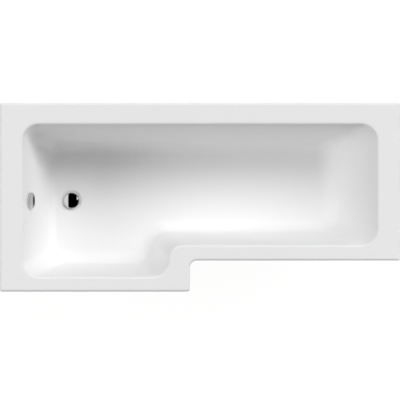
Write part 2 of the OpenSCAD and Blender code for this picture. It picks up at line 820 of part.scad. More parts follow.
// A round wire swept along frames, each frame a point and the two unit ways across the wire
module swept(frames, radius, sides) {
    n = len(frames);
    polyhedron(
        points = [for (f = frames) for (i = [0:sides - 1])
            f[0] + radius * (cos(360 * i / sides) * f[1] + sin(360 * i / sides) * f[2])],
        faces = concat(
            [for (k = [0:n - 2]) for (i = [0:sides - 1]) let (j = (i + 1) % sides) each [
                [k * sides + i, (k + 1) * sides + i, (k + 1) * sides + j],
                [k * sides + i, (k + 1) * sides + j, k * sides + j]]],
            [[for (i = [0:sides - 1]) i]],
            [[for (i = [sides - 1:-1:0]) (n - 1) * sides + i]]));
}

module plug_spring() {
    rings = 8;
    sides = 6;
    coil_r = chamber_d / 2 - 0.4 - spring_wire / 2;
    low = spring_z + spring_wire / 2;
    rise = piston_z - bond - spring_wire / 2 - low;
    frames = [for (i = [0:rings * spring_turns])
        let (a = 360 * i / rings, out = [cos(a), sin(a), 0],
             way = unit([-sin(a), cos(a), rise / spring_turns / (2 * PI * coil_r)]))
        [coil_r * out + [0, 0, low + rise * i / (rings * spring_turns)], out, cross(way, out)]];
    color("silver") at_waste(0)
        swept(frames, spring_wire / 2, sides);
}

module plug_cap() {
    r = cap_d / 2;
    boss_r = plunger_d / 2 + cap_boss_wall;
    color("lightgray") at_waste(cap_z)
        rotate_extrude()
            polygon(concat(
                [[plunger_d / 2 + 0.05, -cap_boss_h], [boss_r, -cap_boss_h], [boss_r, 0], [r - 0.6, 0]],
                [for (a = [-50:20:70]) [r - 1.2 + 1.2 * cos(a), 1.2 + 1.2 * sin(a)]],
                [for (t = [0.85:-0.17:0]) [r * t, cap_h - (cap_h - 2.6) * pow(t, 2)]],
                [[0, cap_h], [0, cap_h - 2], [plunger_d / 2 + 0.05, cap_h - 2]]));
}

module plug_seal() {
    depth = dish_drop - 0.9;
    clear = 0.45;
    // Radius at which the dish is clear of the seal's lower edge when the plug is shut
    low_r = dish_r - (depth - plug_gap + clear) * (dish_r - mouth_r) / dish_drop;
    inner_r = plunger_d / 2 + cap_boss_wall + bond;
    color("dimgray") at_waste(cap_z)
        rotate_extrude()
            polygon([[inner_r, 0], [low_r + 1.6, 0], [low_r, -depth], [inner_r, -depth]]);
}

// ---- Overflow ----------------------------------------------------------------------------
cover_r = cover_d / 2;
bush_bore = bush_d - 5;
bush_flange_r = overflow_hole_d / 2 + 6;
bush_flange_t = 2.5;
elbow_face = skin_t + overflow_gasket_t;
elbow_axis = elbow_face + elbow_depth / 2;
elbow_mid = overflow_at - elbow_axis * [cos(wall_tilt), 0, sin(wall_tilt)];
elbow_end_z = elbow_mid.z - elbow_drop;
hose_r = hose_d / 2;
spigot_d = hose_d - 3;

// A block x by y with round upright corners, standing on the middle of its base
module rounded_block(x, y, h, r) {
    translate([-x / 2, r - y / 2, 0])
        cube([x, y - 2 * r, h]);
    translate([r - x / 2, -y / 2, 0])
        cube([x - 2 * r, y, h]);
    for (i = [-1, 1])
        for (j = [-1, 1])
            translate([i * (x / 2 - r), j * (y / 2 - r), 0])
                cylinder(r = r, h = h);
}

// The cover grips the bush's flange; water runs in through a slot low in its face
module overflow_cover() {
    edge = 3;
    color("lightgray") on_end_wall()
        difference() {
            rotate_extrude()
                polygon(concat(
                    [[bush_flange_r + bond, 1], [cover_r, 1]],
                    [for (a = [0:15:90]) [cover_r - edge + edge * cos(a),
                                          cover_h - edge + edge * sin(a)]],
                    [[0, cover_h + 0.6], [0, cover_h + 0.6 - cover_t],
                     [cover_r - edge, cover_h - cover_t], [cover_r - cover_t, cover_h - edge - 0.5],
                     [cover_r - cover_t, 4], [bush_flange_r + bond, 4]]));
            translate([cover_r - slot_edge - slot_h / 2, 0, cover_h - 2 * cover_t])
                rounded_block(slot_h, slot_w, 4 * cover_t, slot_corner_r);
        }
}

module overflow_bush() {
    color("whitesmoke") on_end_wall()
        rotate_extrude()
            polygon([[bush_bore / 2, bush_flange_t + 1], [bush_flange_r, bush_flange_t + 1],
                     [bush_flange_r, bond], [bush_d / 2, bond], [bush_d / 2, -elbow_face - 12],
                     [bush_bore / 2, -elbow_face - 12]]);
}

module overflow_gasket() {
    color("black") on_end_wall()
        translate([0, 0, -elbow_face + bond])
            difference() {
                cylinder(d = elbow_d + 14, h = overflow_gasket_t - 3 * bond);
                translate([0, 0, -1])
                    cylinder(d = overflow_hole_d, h = overflow_gasket_t + 2);
            }
}

module overflow_elbow() {
    wall = 3;
    color("whitesmoke") difference() {
        union() {
            on_end_wall()
                rotate_extrude()
                    polygon([[0, -elbow_face], [elbow_d / 2 + 8, -elbow_face],
                             [elbow_d / 2 + 8, -elbow_face - 4], [elbow_d / 2, -elbow_face - 5],
                             [elbow_d / 2, -elbow_face - elbow_depth + 5],
                             [elbow_d / 2 - 5, -elbow_face - elbow_depth],
                             [0, -elbow_face - elbow_depth]]);
            translate([elbow_mid.x, waste_y, elbow_end_z])
                cylinder(d = spigot_d, h = elbow_drop);
        }
        on_end_wall() {
            translate([0, 0, -elbow_face - 13])
                cylinder(d = bush_d + 2 * bond, h = 14);
            translate([0, 0, -elbow_face - elbow_depth + wall])
                cylinder(d = elbow_d - 2 * wall - 4, h = elbow_depth);
        }
        translate([elbow_mid.x, waste_y, elbow_end_z - 1])
            cylinder(d = hose_bore - 2, h = elbow_drop);
    }
}

// ---- Overflow hose: straight down from the elbow, then round into the waste body ----------
hose_start = [elbow_mid.x, waste_y, elbow_end_z - bond];
hose_end = [inlet_x - bond, waste_y, inlet_z];
down_from = hose_start - [0, 0, hose_d];
into_from = hose_end - [hose_d, 0, 0];
// Handles that make the bend close to a quarter circle
bend_down = down_from - [0, 0, 0.6 * (down_from.z - into_from.z)];
bend_in = into_from - [0.55 * (into_from.x - down_from.x), 0, 0];
function bend(t) =
    pow(1 - t, 3) * down_from + 3 * pow(1 - t, 2) * t * bend_down
    + 3 * (1 - t) * pow(t, 2) * bend_in + pow(t, 3) * into_from;
function bend_way(t) =
    unit(pow(1 - t, 2) * (bend_down - down_from) + 2 * (1 - t) * t * (bend_in - bend_down)
         + pow(t, 2) * (into_from - bend_in));
BEND_CHORDS = 40;
bend_len = [for (i = 0, s = 0; i <= BEND_CHORDS;
                 i = i + 1,
                 s = s + (i <= BEND_CHORDS ? norm(bend(i / BEND_CHORDS) - bend((i - 1) / BEND_CHORDS)) : 0))
            s];
bend_total = bend_len[BEND_CHORDS];
hose_len = bend_total + 2 * hose_d;
// The point s along the hose and its two ways across
function hose_frame(s) =
    let (on_bend = min(max(s - hose_d, 0), bend_total),
         t = lookup(on_bend, [for (i = [0:BEND_CHORDS]) [bend_len[i], i / BEND_CHORDS]]),
         way = bend_way(t))
    [s < hose_d ? hose_start - [0, 0, s]
        : s > hose_len - hose_d ? hose_end - [hose_len - s, 0, 0] : bend(t),
     [0, 1, 0], cross(way, [0, 1, 0])];
HOSE_SIDES = 8;
BORE_RINGS = 24;
cuff_len = hose_d * 0.8;
ribs = floor((hose_len - 2 * cuff_len) / rib_pitch);
// Stations and radii: plain cuffs at the ends, and a root and a crest for each rib between
hose_outside = concat(
    [[0, hose_r - rib_depth / 2], [cuff_len, hose_r - rib_depth / 2]],
    [for (i = [0:ribs - 1])
        let (s = cuff_len + (hose_len - 2 * cuff_len) * (i + 0.5) / ribs,
             half = (hose_len - 2 * cuff_len) / ribs / 4)
        each [[s - half, hose_r - rib_depth], [s + half, hose_r]]],
    [[hose_len - cuff_len, hose_r - rib_depth / 2], [hose_len, hose_r - rib_depth / 2]]);
hose_inside = [for (i = [0:BORE_RINGS]) [hose_len * i / BORE_RINGS, hose_bore / 2]];
function hose_rings(stations) =
    [for (q = stations) let (f = hose_frame(q[0]))
        for (i = [0:HOSE_SIDES - 1]) let (a = 360 * (i + 0.5) / HOSE_SIDES)
            f[0] + q[1] * (cos(a) * f[1] + sin(a) * f[2])];

module overflow_hose() {
    n = HOSE_SIDES;
    a = len(hose_outside);
    b = len(hose_inside);
    function at(k, i) = k * n + i % n;
    color("lightgray") polyhedron(
        points = concat(hose_rings(hose_outside), hose_rings(hose_inside)),
        faces = concat(
            [for (k = [0:a - 2]) for (i = [0:n - 1]) each [
                [at(k, i), at(k + 1, i), at(k + 1, i + 1)],
                [at(k, i), at(k + 1, i + 1), at(k, i + 1)]]],
            [for (k = [a:a + b - 2]) for (i = [0:n - 1]) each [
                [at(k, i), at(k + 1, i + 1), at(k + 1, i)],
                [at(k, i), at(k, i + 1), at(k + 1, i + 1)]]],
            [for (i = [0:n - 1]) each [
                [at(0, i), at(0, i + 1), at(a, i)],
                [at(0, i + 1), at(a, i + 1), at(a, i)],
                [at(a - 1, i + 1), at(a - 1, i), at(a + b - 1, i)],
                [at(a - 1, i + 1), at(a + b - 1, i), at(a + b - 1, i + 1)]]]));
}

// A nut with grip flutes, over the joint between a spigot and the hose's cuff
module hose_nut() {
    flutes = 12;
    over = hose_nut_len * 0.3;
    difference() {
        translate([0, 0, -hose_nut_len + over])
            cylinder(d = hose_nut_d, h = hose_nut_len);
        translate([0, 0, -hose_nut_len])
            cylinder(d = hose_d + 0.4, h = hose_nut_len);
        translate([0, 0, -1])
            cylinder(d = spigot_d + 0.2, h = hose_nut_len);
        for (i = [0:flutes - 1])
            rotate([0, 0, i * 360 / flutes])
                translate([hose_nut_d / 2 + 1, 0, -hose_nut_len - 1])
                    cylinder(r = 2, h = hose_nut_len + over - 2, $fn = 16);
    }
}

module hose_nut_top() {
    color("whitesmoke") translate(hose_start)
        hose_nut();
}

module hose_nut_bottom() {
    color("whitesmoke") translate(hose_end)
        rotate([0, 90, 0])
            hose_nut();
}

bath_shell();
laminate_backing();
baseboard();
rim_batten_back();
rim_batten_head_end();
rim_batten_waste_end();
rim_batten_narrow_front();
rim_batten_step();
rim_batten_shower_front();
leg_bar(0);  // leg_bar_waste_end
leg_bar(1);  // leg_bar_middle
leg_bar(2);  // leg_bar_head_end
welded_nuts();
bar_screws();
for (i = [0:5]) foot_pad(i);
for (i = [0:5]) foot_rod(i);
for (i = [0:5]) lock_nut(i);
wall_bracket(-bracket_spacing / 2);  // wall_bracket_waste_end
wall_bracket(bracket_spacing / 2);  // wall_bracket_head_end
bracket_screws();
waste_flange();
flange_gasket();
waste_washer();
waste_body();
plug_sleeve();
plug_plunger();
plug_spring();
plug_cap();
plug_seal();
overflow_cover();
overflow_bush();
overflow_gasket();
overflow_elbow();
overflow_hose();
hose_nut_top();
hose_nut_bottom();
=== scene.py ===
import bisect
import math

import bmesh
import bpy
from mathutils import Matrix, Vector


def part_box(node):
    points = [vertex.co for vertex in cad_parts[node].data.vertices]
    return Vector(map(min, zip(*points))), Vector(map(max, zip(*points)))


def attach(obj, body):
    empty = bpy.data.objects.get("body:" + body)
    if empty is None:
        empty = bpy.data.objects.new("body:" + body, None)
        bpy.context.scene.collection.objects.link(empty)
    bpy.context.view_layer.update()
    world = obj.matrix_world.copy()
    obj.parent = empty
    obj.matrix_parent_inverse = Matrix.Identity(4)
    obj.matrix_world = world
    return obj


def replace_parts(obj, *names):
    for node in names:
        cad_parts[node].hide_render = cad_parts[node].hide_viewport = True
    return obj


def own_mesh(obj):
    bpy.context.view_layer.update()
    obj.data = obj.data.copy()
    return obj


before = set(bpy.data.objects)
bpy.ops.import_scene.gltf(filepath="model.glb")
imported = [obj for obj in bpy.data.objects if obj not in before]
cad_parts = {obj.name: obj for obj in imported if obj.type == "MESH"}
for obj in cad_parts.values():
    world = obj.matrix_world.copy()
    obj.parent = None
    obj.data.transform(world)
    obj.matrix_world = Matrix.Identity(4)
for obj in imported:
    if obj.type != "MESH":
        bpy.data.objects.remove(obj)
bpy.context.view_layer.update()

# ---- Bath shell --------------------------------------------------------------------------
# One 4 mm sheet of white acrylic, heated and drawn down into a mould: lip, rim, leaning walls,
# floor with its fall to the waste, and the waste's recess. Its face is smooth, with a soft sheen.
length, wide, narrow, shower_length = 1.800, 0.850, 0.710, 0.855
rim_z, depth, fall = 0.560, 0.410, 0.012
sheet = 0.004
waste_at = Vector((-0.582, -0.0155, 0))
# Six sides, anticlockwise from above: waste end, shower front, step, narrow front, head end, back
rim_widths = (0.100, 0.066, 0.095, 0.069, 0.100, 0.097)
leans = (0.126, 0.066, 0.078, 0.066, 0.195, 0.086)
foot_rounds = (0.045, 0.065, 0.065, 0.065, 0.115, 0.065)
sides, back_side = range(6), 5
# The corner at the start of each side, on the lip, at the basin's edge and on the floor
lip_corners = (0.008, 0.008, 0.015, 0.032, 0.008, 0.008)
basin_corners = (0.075, 0.075, 0.075, 0.060, 0.075, 0.075)
floor_corners = (0.028, 0.028, 0.028, 0.110, 0.028, 0.028)
hollow_corner, least_corner = 3, 0.0005
lip_depth, lip_round, rim_round = 0.040, 0.011, 0.012
lip_steps, rim_steps, foot_steps, corner_steps = 10, 12, 22, 20
upright = math.pi / 2 - math.atan(min(leans) / depth)
foot_height = max(r * (1 - math.sin(math.atan(lean / depth)))
                  for r, lean in zip(foot_rounds, leans))
recess_radius, seat_radius, waste_hole_radius = 0.0485, 0.0385, 0.026
recess_depth, recess_steps, circle_steps = 0.004, 8, 96
seat_z = rim_z - depth - recess_depth


def inset_at(side, drop):
    """How far in from the bath's edge one side's wall stands, at a drop below the rim."""
    tilt = math.atan(leans[side] / depth)
    reach = math.tan((math.pi / 2 - tilt) / 2)
    top, foot, r = rim_round * reach, foot_rounds[side] * reach, foot_rounds[side]
    if drop < top * math.cos(tilt):
        return rim_widths[side] - top + math.sqrt(rim_round ** 2 - (rim_round - drop) ** 2)
    if drop > depth - foot * math.cos(tilt):
        low = max(0.0, r ** 2 - (drop - depth + r) ** 2)
        return rim_widths[side] + leans[side] + foot - math.sqrt(low)
    return rim_widths[side] + drop * leans[side] / depth


def level(x, drop):
    """Height of the moulding at a drop below the rim, with the floor's fall worked in."""
    return rim_z - drop + fall * (x - waste_at.x) * drop / depth


def outline(bm, insets, corners, drop):
    """One closed line round the bath: six points joined up, each corner eased to its radius."""
    waste_end, shower_front, in_step, narrow_front, head_end, in_back = insets
    left, right = waste_end - length / 2, length / 2 - head_end
    front, inner = shower_front - wide / 2, wide / 2 - narrow + narrow_front
    step, back = shower_length - length / 2 - in_step, wide / 2 - in_back
    before = set(bm.edges)
    points = [bm.verts.new((x, y, 0)) for x, y in (
        (left, back), (left, front), (step, front), (step, inner), (right, inner), (right, back))]
    for pair in zip(points, points[1:] + points[:1]):
        bm.edges.new(pair)
    for point, radius in zip(points, corners):
        bmesh.ops.bevel(bm, geom=[point], offset=radius, segments=corner_steps, profile=0.5,
                        affect="VERTICES", material=-1, clamp_overlap=False)
    line = [e for e in bm.edges if e not in before]
    for v in {v for e in line for v in e.verts}:
        v.co.z = level(v.co.x, drop)
    return line


def lip_line(bm, turn, drop):
    """The bath's outer edge, drawn in as the lip's rounding turns over into the rim."""
    inset = lip_round * (1 - math.cos(turn))
    tightest = sheet * math.cos(turn) + least_corner
    corners = [r + inset if k == hollow_corner else max(r - inset, tightest)
               for k, r in enumerate(lip_corners)]
    return outline(bm, [inset for _ in sides], corners, drop)


def basin_lines(bm):
    """The lines from the flat of the rim, down the walls, to the edge of the flat floor."""
    lines = []
    for k in range(rim_steps + 1):
        drop = rim_round * (1 - math.cos(upright * k / rim_steps))
        inset = inset_at(back_side, drop) - rim_widths[back_side]
        corners = [r + inset if c == hollow_corner else r - inset
                   for c, r in enumerate(basin_corners)]
        lines.append(outline(bm, [inset_at(s, drop) for s in sides], corners, drop))
    for k in range(foot_steps + 1):
        turn = upright * (1 - k / foot_steps)
        drop = depth - foot_height * (1 - math.cos(turn)) / (1 - math.cos(upright))
        done = 1 - math.sin(turn) / math.sin(upright)
        corners = [a + done * (b - a) for a, b in zip(basin_corners, floor_corners)]
        lines.append(outline(bm, [inset_at(s, drop) for s in sides], corners, drop))
    return lines


def ring_at_waste(bm, radius, z=None, sink=0.0):
    """A circle round the waste, on the sloping floor, or sunk towards a level of its own."""
    ring = bmesh.ops.create_circle(bm, segments=circle_steps, radius=radius,
                                   matrix=Matrix.Translation(waste_at))["verts"]
    for v in ring:
        on_floor = level(v.co.x, depth)
        v.co.z = on_floor if z is None else on_floor + sink * (z - on_floor)
    return list(dict.fromkeys(e for v in ring for e in v.link_edges))


def skin_between(bm, lines):
    for a, b in zip(lines, lines[1:]):
        bmesh.ops.bridge_loops(bm, edges=a + b)


def flat_between(bm, outer, inner):
    bmesh.ops.triangle_fill(bm, use_beauty=True, edges=outer + inner)


def facing_up(bm):
    """Turns every face of an open skin to the side that is seen from above."""
    bmesh.ops.recalc_face_normals(bm, faces=bm.faces)
    if sum(f.normal.z * f.calc_area() for f in bm.faces) < 0:
        bmesh.ops.reverse_faces(bm, faces=bm.faces)


def finish(name, colour, roughness, metal=0.0):
    """A new material, with the settings that are the same all over set on its shader."""
    mat = bpy.data.materials.new(name)
    mat.use_nodes = True
    shader = mat.node_tree.nodes["Principled BSDF"]
    shader.inputs["Base Color"].default_value = (*colour, 1)
    shader.inputs["Roughness"].default_value = roughness
    shader.inputs["Metallic"].default_value = metal
    return mat


def pattern(mat, kind, scale, stretch=(1, 1, 1), turn=(0, 0, 0), **settings):
    """A procedural pattern laid in the piece's own metres; gives the outputs of its node."""
    nodes, links = mat.node_tree.nodes, mat.node_tree.links
    where = nodes.get("Texture Coordinate") or nodes.new("ShaderNodeTexCoord")
    laid = nodes.new("ShaderNodeMapping")
    laid.inputs["Scale"].default_value = stretch
    laid.inputs["Rotation"].default_value = turn
    links.new(where.outputs["Object"], laid.inputs["Vector"])
    made = nodes.new(kind)
    made.inputs["Scale"].default_value = scale
    for setting, value in settings.items():
        made.inputs[setting].default_value = value
    links.new(laid.outputs["Vector"], made.inputs["Vector"])
    return made.outputs


def noise(mat, scale, detail, stretch=(1, 1, 1)):
    return pattern(mat, "ShaderNodeTexNoise", scale, stretch, Detail=detail)[0]


def toned(mat, value, stops, into="Base Color"):
    """Turns a pattern's value into tones by stops of (value, colour), for a shader's input."""
    nodes, links = mat.node_tree.nodes, mat.node_tree.links
    ramp = nodes.new("ShaderNodeValToRGB")
    while len(ramp.color_ramp.elements) < len(stops):
        ramp.color_ramp.elements.new(0.5)
    for element, (at, colour) in zip(ramp.color_ramp.elements, stops):
        element.position = at
        element.color = (*colour, 1) if isinstance(colour, tuple) else (colour,) * 3 + (1,)
    links.new(value, ramp.inputs["Fac"])
    if into:
        links.new(ramp.outputs["Color"], nodes["Principled BSDF"].inputs[into])
    return ramp.outputs["Color"]


def relief(mat, value, height, sunk=False):
    """Raises a pattern on the surface by a height in metres, over what is raised already."""
    nodes, links = mat.node_tree.nodes, mat.node_tree.links
    bump = nodes.new("ShaderNodeBump")
    bump.invert = sunk
    bump.inputs["Distance"].default_value = height
    links.new(value, bump.inputs["Height"])
    normal = nodes["Principled BSDF"].inputs["Normal"]
    if normal.is_linked:
        links.new(normal.links[0].from_socket, bump.inputs["Normal"])
    links.new(bump.outputs["Normal"], normal)


def shaded(made, sharp):
    """Smooth shading that stops at edges sharper than an angle, and is even over the flats."""
    made.data.shade_smooth()
    made.data.set_sharp_from_angle(angle=math.radians(sharp))
    made.modifiers.new("even shading", "WEIGHTED_NORMAL").keep_sharp = True


def piece(name, bm, mat, body, at=Matrix(), sharp=35):
    """Makes a shaped mesh a piece of the object, riding on one of its bodies."""
    mesh = bpy.data.meshes.new(name)
    bm.transform(at)
    bm.to_mesh(mesh)
    bm.free()
    mesh.materials.append(mat)
    made = bpy.data.objects.new(name, mesh)
    bpy.context.scene.collection.objects.link(made)
    shaded(made, sharp)
    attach(made, body)
    return made


def carved(made, tool, operation="DIFFERENCE", sharp=35):
    """Cuts a piece with the shape of a tool, which is then taken away."""
    mesh = bpy.data.meshes.new("tool")
    tool.to_mesh(mesh)
    tool.free()
    cutter = bpy.data.objects.new("tool", mesh)
    bpy.context.scene.collection.objects.link(cutter)
    cut = made.modifiers.new("cut", "BOOLEAN")
    cut.operation, cut.solver, cut.object = operation, "EXACT", cutter
    whole = made.evaluated_get(bpy.context.evaluated_depsgraph_get())
    made.data = bpy.data.meshes.new_from_object(whole)
    made.modifiers.clear()
    bpy.data.objects.remove(cutter)
    shaded(made, sharp)


acrylic = finish("white acrylic", (0.91, 0.91, 0.91), roughness=0.50)
for setting, value in (("IOR", 1.49), ("Specular IOR Level", 0.30)):
    acrylic.node_tree.nodes["Principled BSDF"].inputs[setting].default_value = value
toned(acrylic, noise(acrylic, scale=6.0, detail=4.0), [(0.3, 0.46), (0.75, 0.54)],
      into="Roughness")
relief(acrylic, noise(acrylic, scale=28.0, detail=1.0), height=0.00006)

bm = bmesh.new()
lips = [lip_line(bm, 0.0, lip_depth)]
for k in range(lip_steps + 1):
    turn = math.pi / 2 * k / lip_steps
    lips.append(lip_line(bm, turn, lip_round * (1 - math.sin(turn))))
basin = basin_lines(bm)
skin_between(bm, lips)
skin_between(bm, basin)
flat_between(bm, lips[-1], basin[0])
recess = [ring_at_waste(bm, recess_radius)]
for k in range(1, recess_steps + 1):
    share = k / recess_steps
    recess.append(ring_at_waste(bm, recess_radius - share * (recess_radius - seat_radius),
                                seat_z, (1 - math.cos(math.pi * share)) / 2))
recess.append(ring_at_waste(bm, waste_hole_radius, seat_z, 1.0))
flat_between(bm, basin[-1], recess[0])
skin_between(bm, recess)
facing_up(bm)
bmesh.ops.solidify(bm, geom=bm.faces, thickness=sheet)
shell = piece("acrylic_shell", bm, acrylic, "bath")

# The overflow's hole, square to the wall at the waste end; +Z of this place points into the bath
overflow_x, overflow_z, overflow_turn, overflow_hole_radius = -0.767635, 0.454318, 72.9681, 0.023
end_wall = (Matrix.Translation((overflow_x, waste_at.y, overflow_z))
            @ Matrix.Rotation(math.radians(overflow_turn), 4, "Y"))


def drill(radius, depth, at):
    """A round cutter, its middle at a place and its length along that place's Z."""
    tool = bmesh.new()
    bmesh.ops.create_cone(tool, cap_ends=True, segments=circle_steps, radius1=radius,
                          radius2=radius, depth=depth)
    tool.transform(at)
    return tool


carved(shell, drill(overflow_hole_radius, 0.030, end_wall))
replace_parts(shell, "bath_shell")

# ---- Laminate ----------------------------------------------------------------------------
# Chopped glass fibre and straw-coloured resin, sprayed on the back of the sheet and rolled
# down by hand; it stiffens the shell from the flat of the rim to the waste's recess.
laminate_thickness, sheet_in_layers = 0.0039, 3.07
straw, strand_length = (0.60, 0.52, 0.34), 14


def cells(mat, scale, stretch=(1, 1, 1), turn=(0, 0, 0)):
    """A pattern of cells, each with a Color of its own and the Distance from its middle."""
    return pattern(mat, "ShaderNodeTexVoronoi", scale, stretch, turn)


def strands(mat, scale, way):
    """Chopped strands that all lie one way: cells drawn out along it."""
    made = cells(mat, scale)
    laid = made["Color"].node.inputs["Vector"].links[0].from_node
    laid.vector_type = "TEXTURE"
    laid.inputs["Scale"].default_value = (strand_length, 1, 1)
    laid.inputs["Rotation"].default_value = Vector(way).to_track_quat("X", "Z").to_euler()
    return made


def blended(mat, under, over, share):
    """Lays one set of tones over another, by a share, for the shader's colour."""
    nodes, links = mat.node_tree.nodes, mat.node_tree.links
    mix = nodes.new("ShaderNodeMix")
    mix.data_type = "RGBA"
    mix.inputs[0].default_value = share
    links.new(under, mix.inputs[6])
    links.new(over, mix.inputs[7])
    links.new(mix.outputs[2], nodes["Principled BSDF"].inputs["Base Color"])
    return mix.outputs[2]


laminate = finish("glass fibre laminate", straw, roughness=0.5)
mat_tones = toned(laminate, noise(laminate, scale=14.0, detail=6.0),
                  [(0.3, (0.50, 0.42, 0.25)), (0.55, (0.62, 0.54, 0.36)),
                   (0.8, (0.70, 0.64, 0.47))], into="")
strand_tones = [(0.0, (0.42, 0.35, 0.20)), (0.5, (0.60, 0.53, 0.36)), (1.0, (0.80, 0.75, 0.60))]
for way, scale, share in (((0.55, 0.55, 0.63), 330.0, 0.40), ((0.60, 0.50, -0.62), 300.0, 0.36),
                          ((0.70, -0.70, 0.10), 360.0, 0.30)):
    lay = strands(laminate, scale, way)
    over = toned(laminate, lay["Color"], strand_tones, into="")
    mat_tones = blended(laminate, mat_tones, over, share)
    relief(laminate, lay["Distance"], height=0.0008, sunk=True)
relief(laminate, noise(laminate, scale=9.0, detail=3.0), height=0.003)

bm = bmesh.new()
rim_edge = lip_line(bm, math.pi / 2, 0.0)
basin = basin_lines(bm)
skin_between(bm, basin)
flat_between(bm, rim_edge, basin[0])
flat_between(bm, basin[-1], ring_at_waste(bm, recess_radius))
facing_up(bm)
backing = piece("laminate", bm, laminate, "bath")
layer = backing.modifiers.new("layer", "SOLIDIFY")
layer.thickness, layer.offset, layer.use_even_offset = laminate_thickness, -sheet_in_layers, True
carved(backing, drill(overflow_hole_radius, 0.040, end_wall))
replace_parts(backing, "laminate_backing")

# ---- Rim battens -------------------------------------------------------------------------
# Six planed softwood battens bonded under the rim, which carry its edge and take the wall
# brackets' screws. Sawn to length, with the arrises taken off.
crease, weld_distance = math.radians(40), 1e-5


def eased(name, node, mat, radius, shape=None):
    """A copy of a node with its flats made whole and its edges rounded over."""
    bm = bmesh.new()
    bm.from_mesh(bpy.data.objects[node].data)
    bm.transform(bpy.data.objects[node].matrix_world)
    bmesh.ops.remove_doubles(bm, verts=bm.verts, dist=weld_distance)
    bmesh.ops.dissolve_limit(bm, angle_limit=math.radians(0.5), verts=bm.verts, edges=bm.edges)
    if shape:
        shape(bm)
    edges = [e for e in bm.edges if len(e.link_faces) == 2 and e.calc_face_angle(0) > crease]
    bmesh.ops.bevel(bm, geom=edges, offset=radius, offset_type="OFFSET", segments=2,
                    profile=0.5, affect="EDGES", material=-1, clamp_overlap=True)
    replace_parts(piece(name, bm, mat, "bath"), node)


def softwood(name, turn):
    """Planed pine, its grain drawn out along X where it is turned, and along Y where not."""
    mat = finish(name, (0.62, 0.42, 0.21), roughness=0.6)
    drawn = (0.05, 1, 1) if turn else (1, 0.05, 1)
    rings = pattern(mat, "ShaderNodeTexWave", 38.0, stretch=drawn, turn=(0.35, 0.02, turn),
                    **{"Distortion": 14.0, "Detail": 2.0, "Detail Scale": 0.6})[0]
    toned(mat, rings, [(0.0, (0.66, 0.48, 0.27)), (0.6, (0.61, 0.43, 0.23)),
                       (1.0, (0.50, 0.32, 0.15))])
    relief(mat, noise(mat, scale=90.0, detail=5.0, stretch=drawn), height=0.0004)
    return mat


pine_along = softwood("pine along the bath", math.pi / 2)
pine_across = softwood("pine across the bath", 0.0)
for pine, battens in ((pine_along, ("back", "narrow_front", "shower_front")),
                      (pine_across, ("head_end", "waste_end", "step"))):
    for side in battens:
        eased("batten_" + side, "rim_batten_" + side, pine, radius=0.0015)

# ---- Baseboard ---------------------------------------------------------------------------
# An 18 mm chipboard panel bonded under the floor, with a round cut-out for the waste. Its
# faces and its sawn edges show the chips.
chipboard = finish("chipboard", (0.47, 0.33, 0.18), roughness=0.75)
chips = cells(chipboard, 420.0, stretch=(1, 0.45, 1.5), turn=(0.2, 0.1, 0.6))
toned(chipboard, chips["Color"], [(0.0, (0.36, 0.25, 0.13)), (0.45, (0.47, 0.34, 0.19)),
                                  (0.75, (0.54, 0.41, 0.24)), (1.0, (0.63, 0.50, 0.32))])
relief(chipboard, chips["Distance"], height=0.0005)
eased("baseboard_panel", "baseboard", chipboard, radius=0.0008)

# ---- Leg bars ----------------------------------------------------------------------------
# Three channels folded from 2 mm galvanised strip, screwed up into the baseboard. The zinc
# shows its crystals, and each fold has a small radius.
strip, inner_fold, sheared_edge = 0.002, 0.0008, 0.0004


def to_side(point, edge, along):
    """How far a point lies to the side of an edge that runs one way."""
    return (point.co - edge.verts[0].co).cross(along).length


def bend(bm, along):
    """Rounds the folds that run one way: tight inside, and wider by the strip outside."""
    for outside in (False, True):
        folds = [e for e in bm.edges if len(e.link_faces) == 2
                 and e.calc_face_angle(0) > crease and e.is_convex == outside
                 and to_side(e.verts[1], e, along) < 0.01 * e.calc_length()
                 and all(max(to_side(v, e, along) for v in f.verts) > 2.5 * strip
                         for f in e.link_faces)]
        bmesh.ops.bevel(bm, geom=folds, offset=inner_fold + strip * outside, offset_type="OFFSET",
                        segments=5, profile=0.5, affect="EDGES", material=-1, clamp_overlap=False)


galvanised = finish("galvanised steel", (0.56, 0.58, 0.60), roughness=0.38, metal=1.0)
crystals = cells(galvanised, 75.0)["Color"]
toned(galvanised, crystals, [(0.0, (0.46, 0.48, 0.50)), (1.0, (0.66, 0.68, 0.70))])
toned(galvanised, crystals, [(0.0, 0.30), (1.0, 0.50)], into="Roughness")
for bar in ("waste_end", "middle", "head_end"):
    eased("bar_" + bar, "leg_bar_" + bar, galvanised, sheared_edge,
          shape=lambda bm: bend(bm, along=Vector((0, 1, 0))))

# ---- Welded nuts -------------------------------------------------------------------------
# A steel nut stands on each bar over a foot's hole, held by two short runs of weld.
feet = range(1, 7)
nut_across, nut_height, nut_bore, nut_cone, nut_gap = 0.017, 0.008, 0.00506, 0.0006, 0.00005
bead_radius, bead_step, beads_in_run, bead_flatness = 0.0016, 0.0012, 6, 0.7
run_start, run_beside = -0.003, 0.0087


def turned(corners, steps=72, ring=False):
    """Spins a profile of (radius, height, easing) corners once round the upright axis."""
    bm = bmesh.new()
    points = [bm.verts.new((r, 0, z)) for r, z, _ in corners]
    for pair in zip(points, points[1:] + points[:ring]):
        if pair[0].co.x or pair[1].co.x:
            bm.edges.new(pair)
    for point, (_, _, easing) in zip(points, corners):
        if easing:
            bmesh.ops.bevel(bm, geom=[point], offset=easing, segments=4, profile=0.5,
                            affect="VERTICES", material=-1, clamp_overlap=False)
    bmesh.ops.spin(bm, geom=bm.verts[:] + bm.edges[:], axis=(0, 0, 1), cent=(0, 0, 0),
                   angle=2 * math.pi, steps=steps, use_merge=True)
    bmesh.ops.remove_doubles(bm, verts=bm.verts, dist=1e-6)
    bmesh.ops.recalc_face_normals(bm, faces=bm.faces)
    return bm


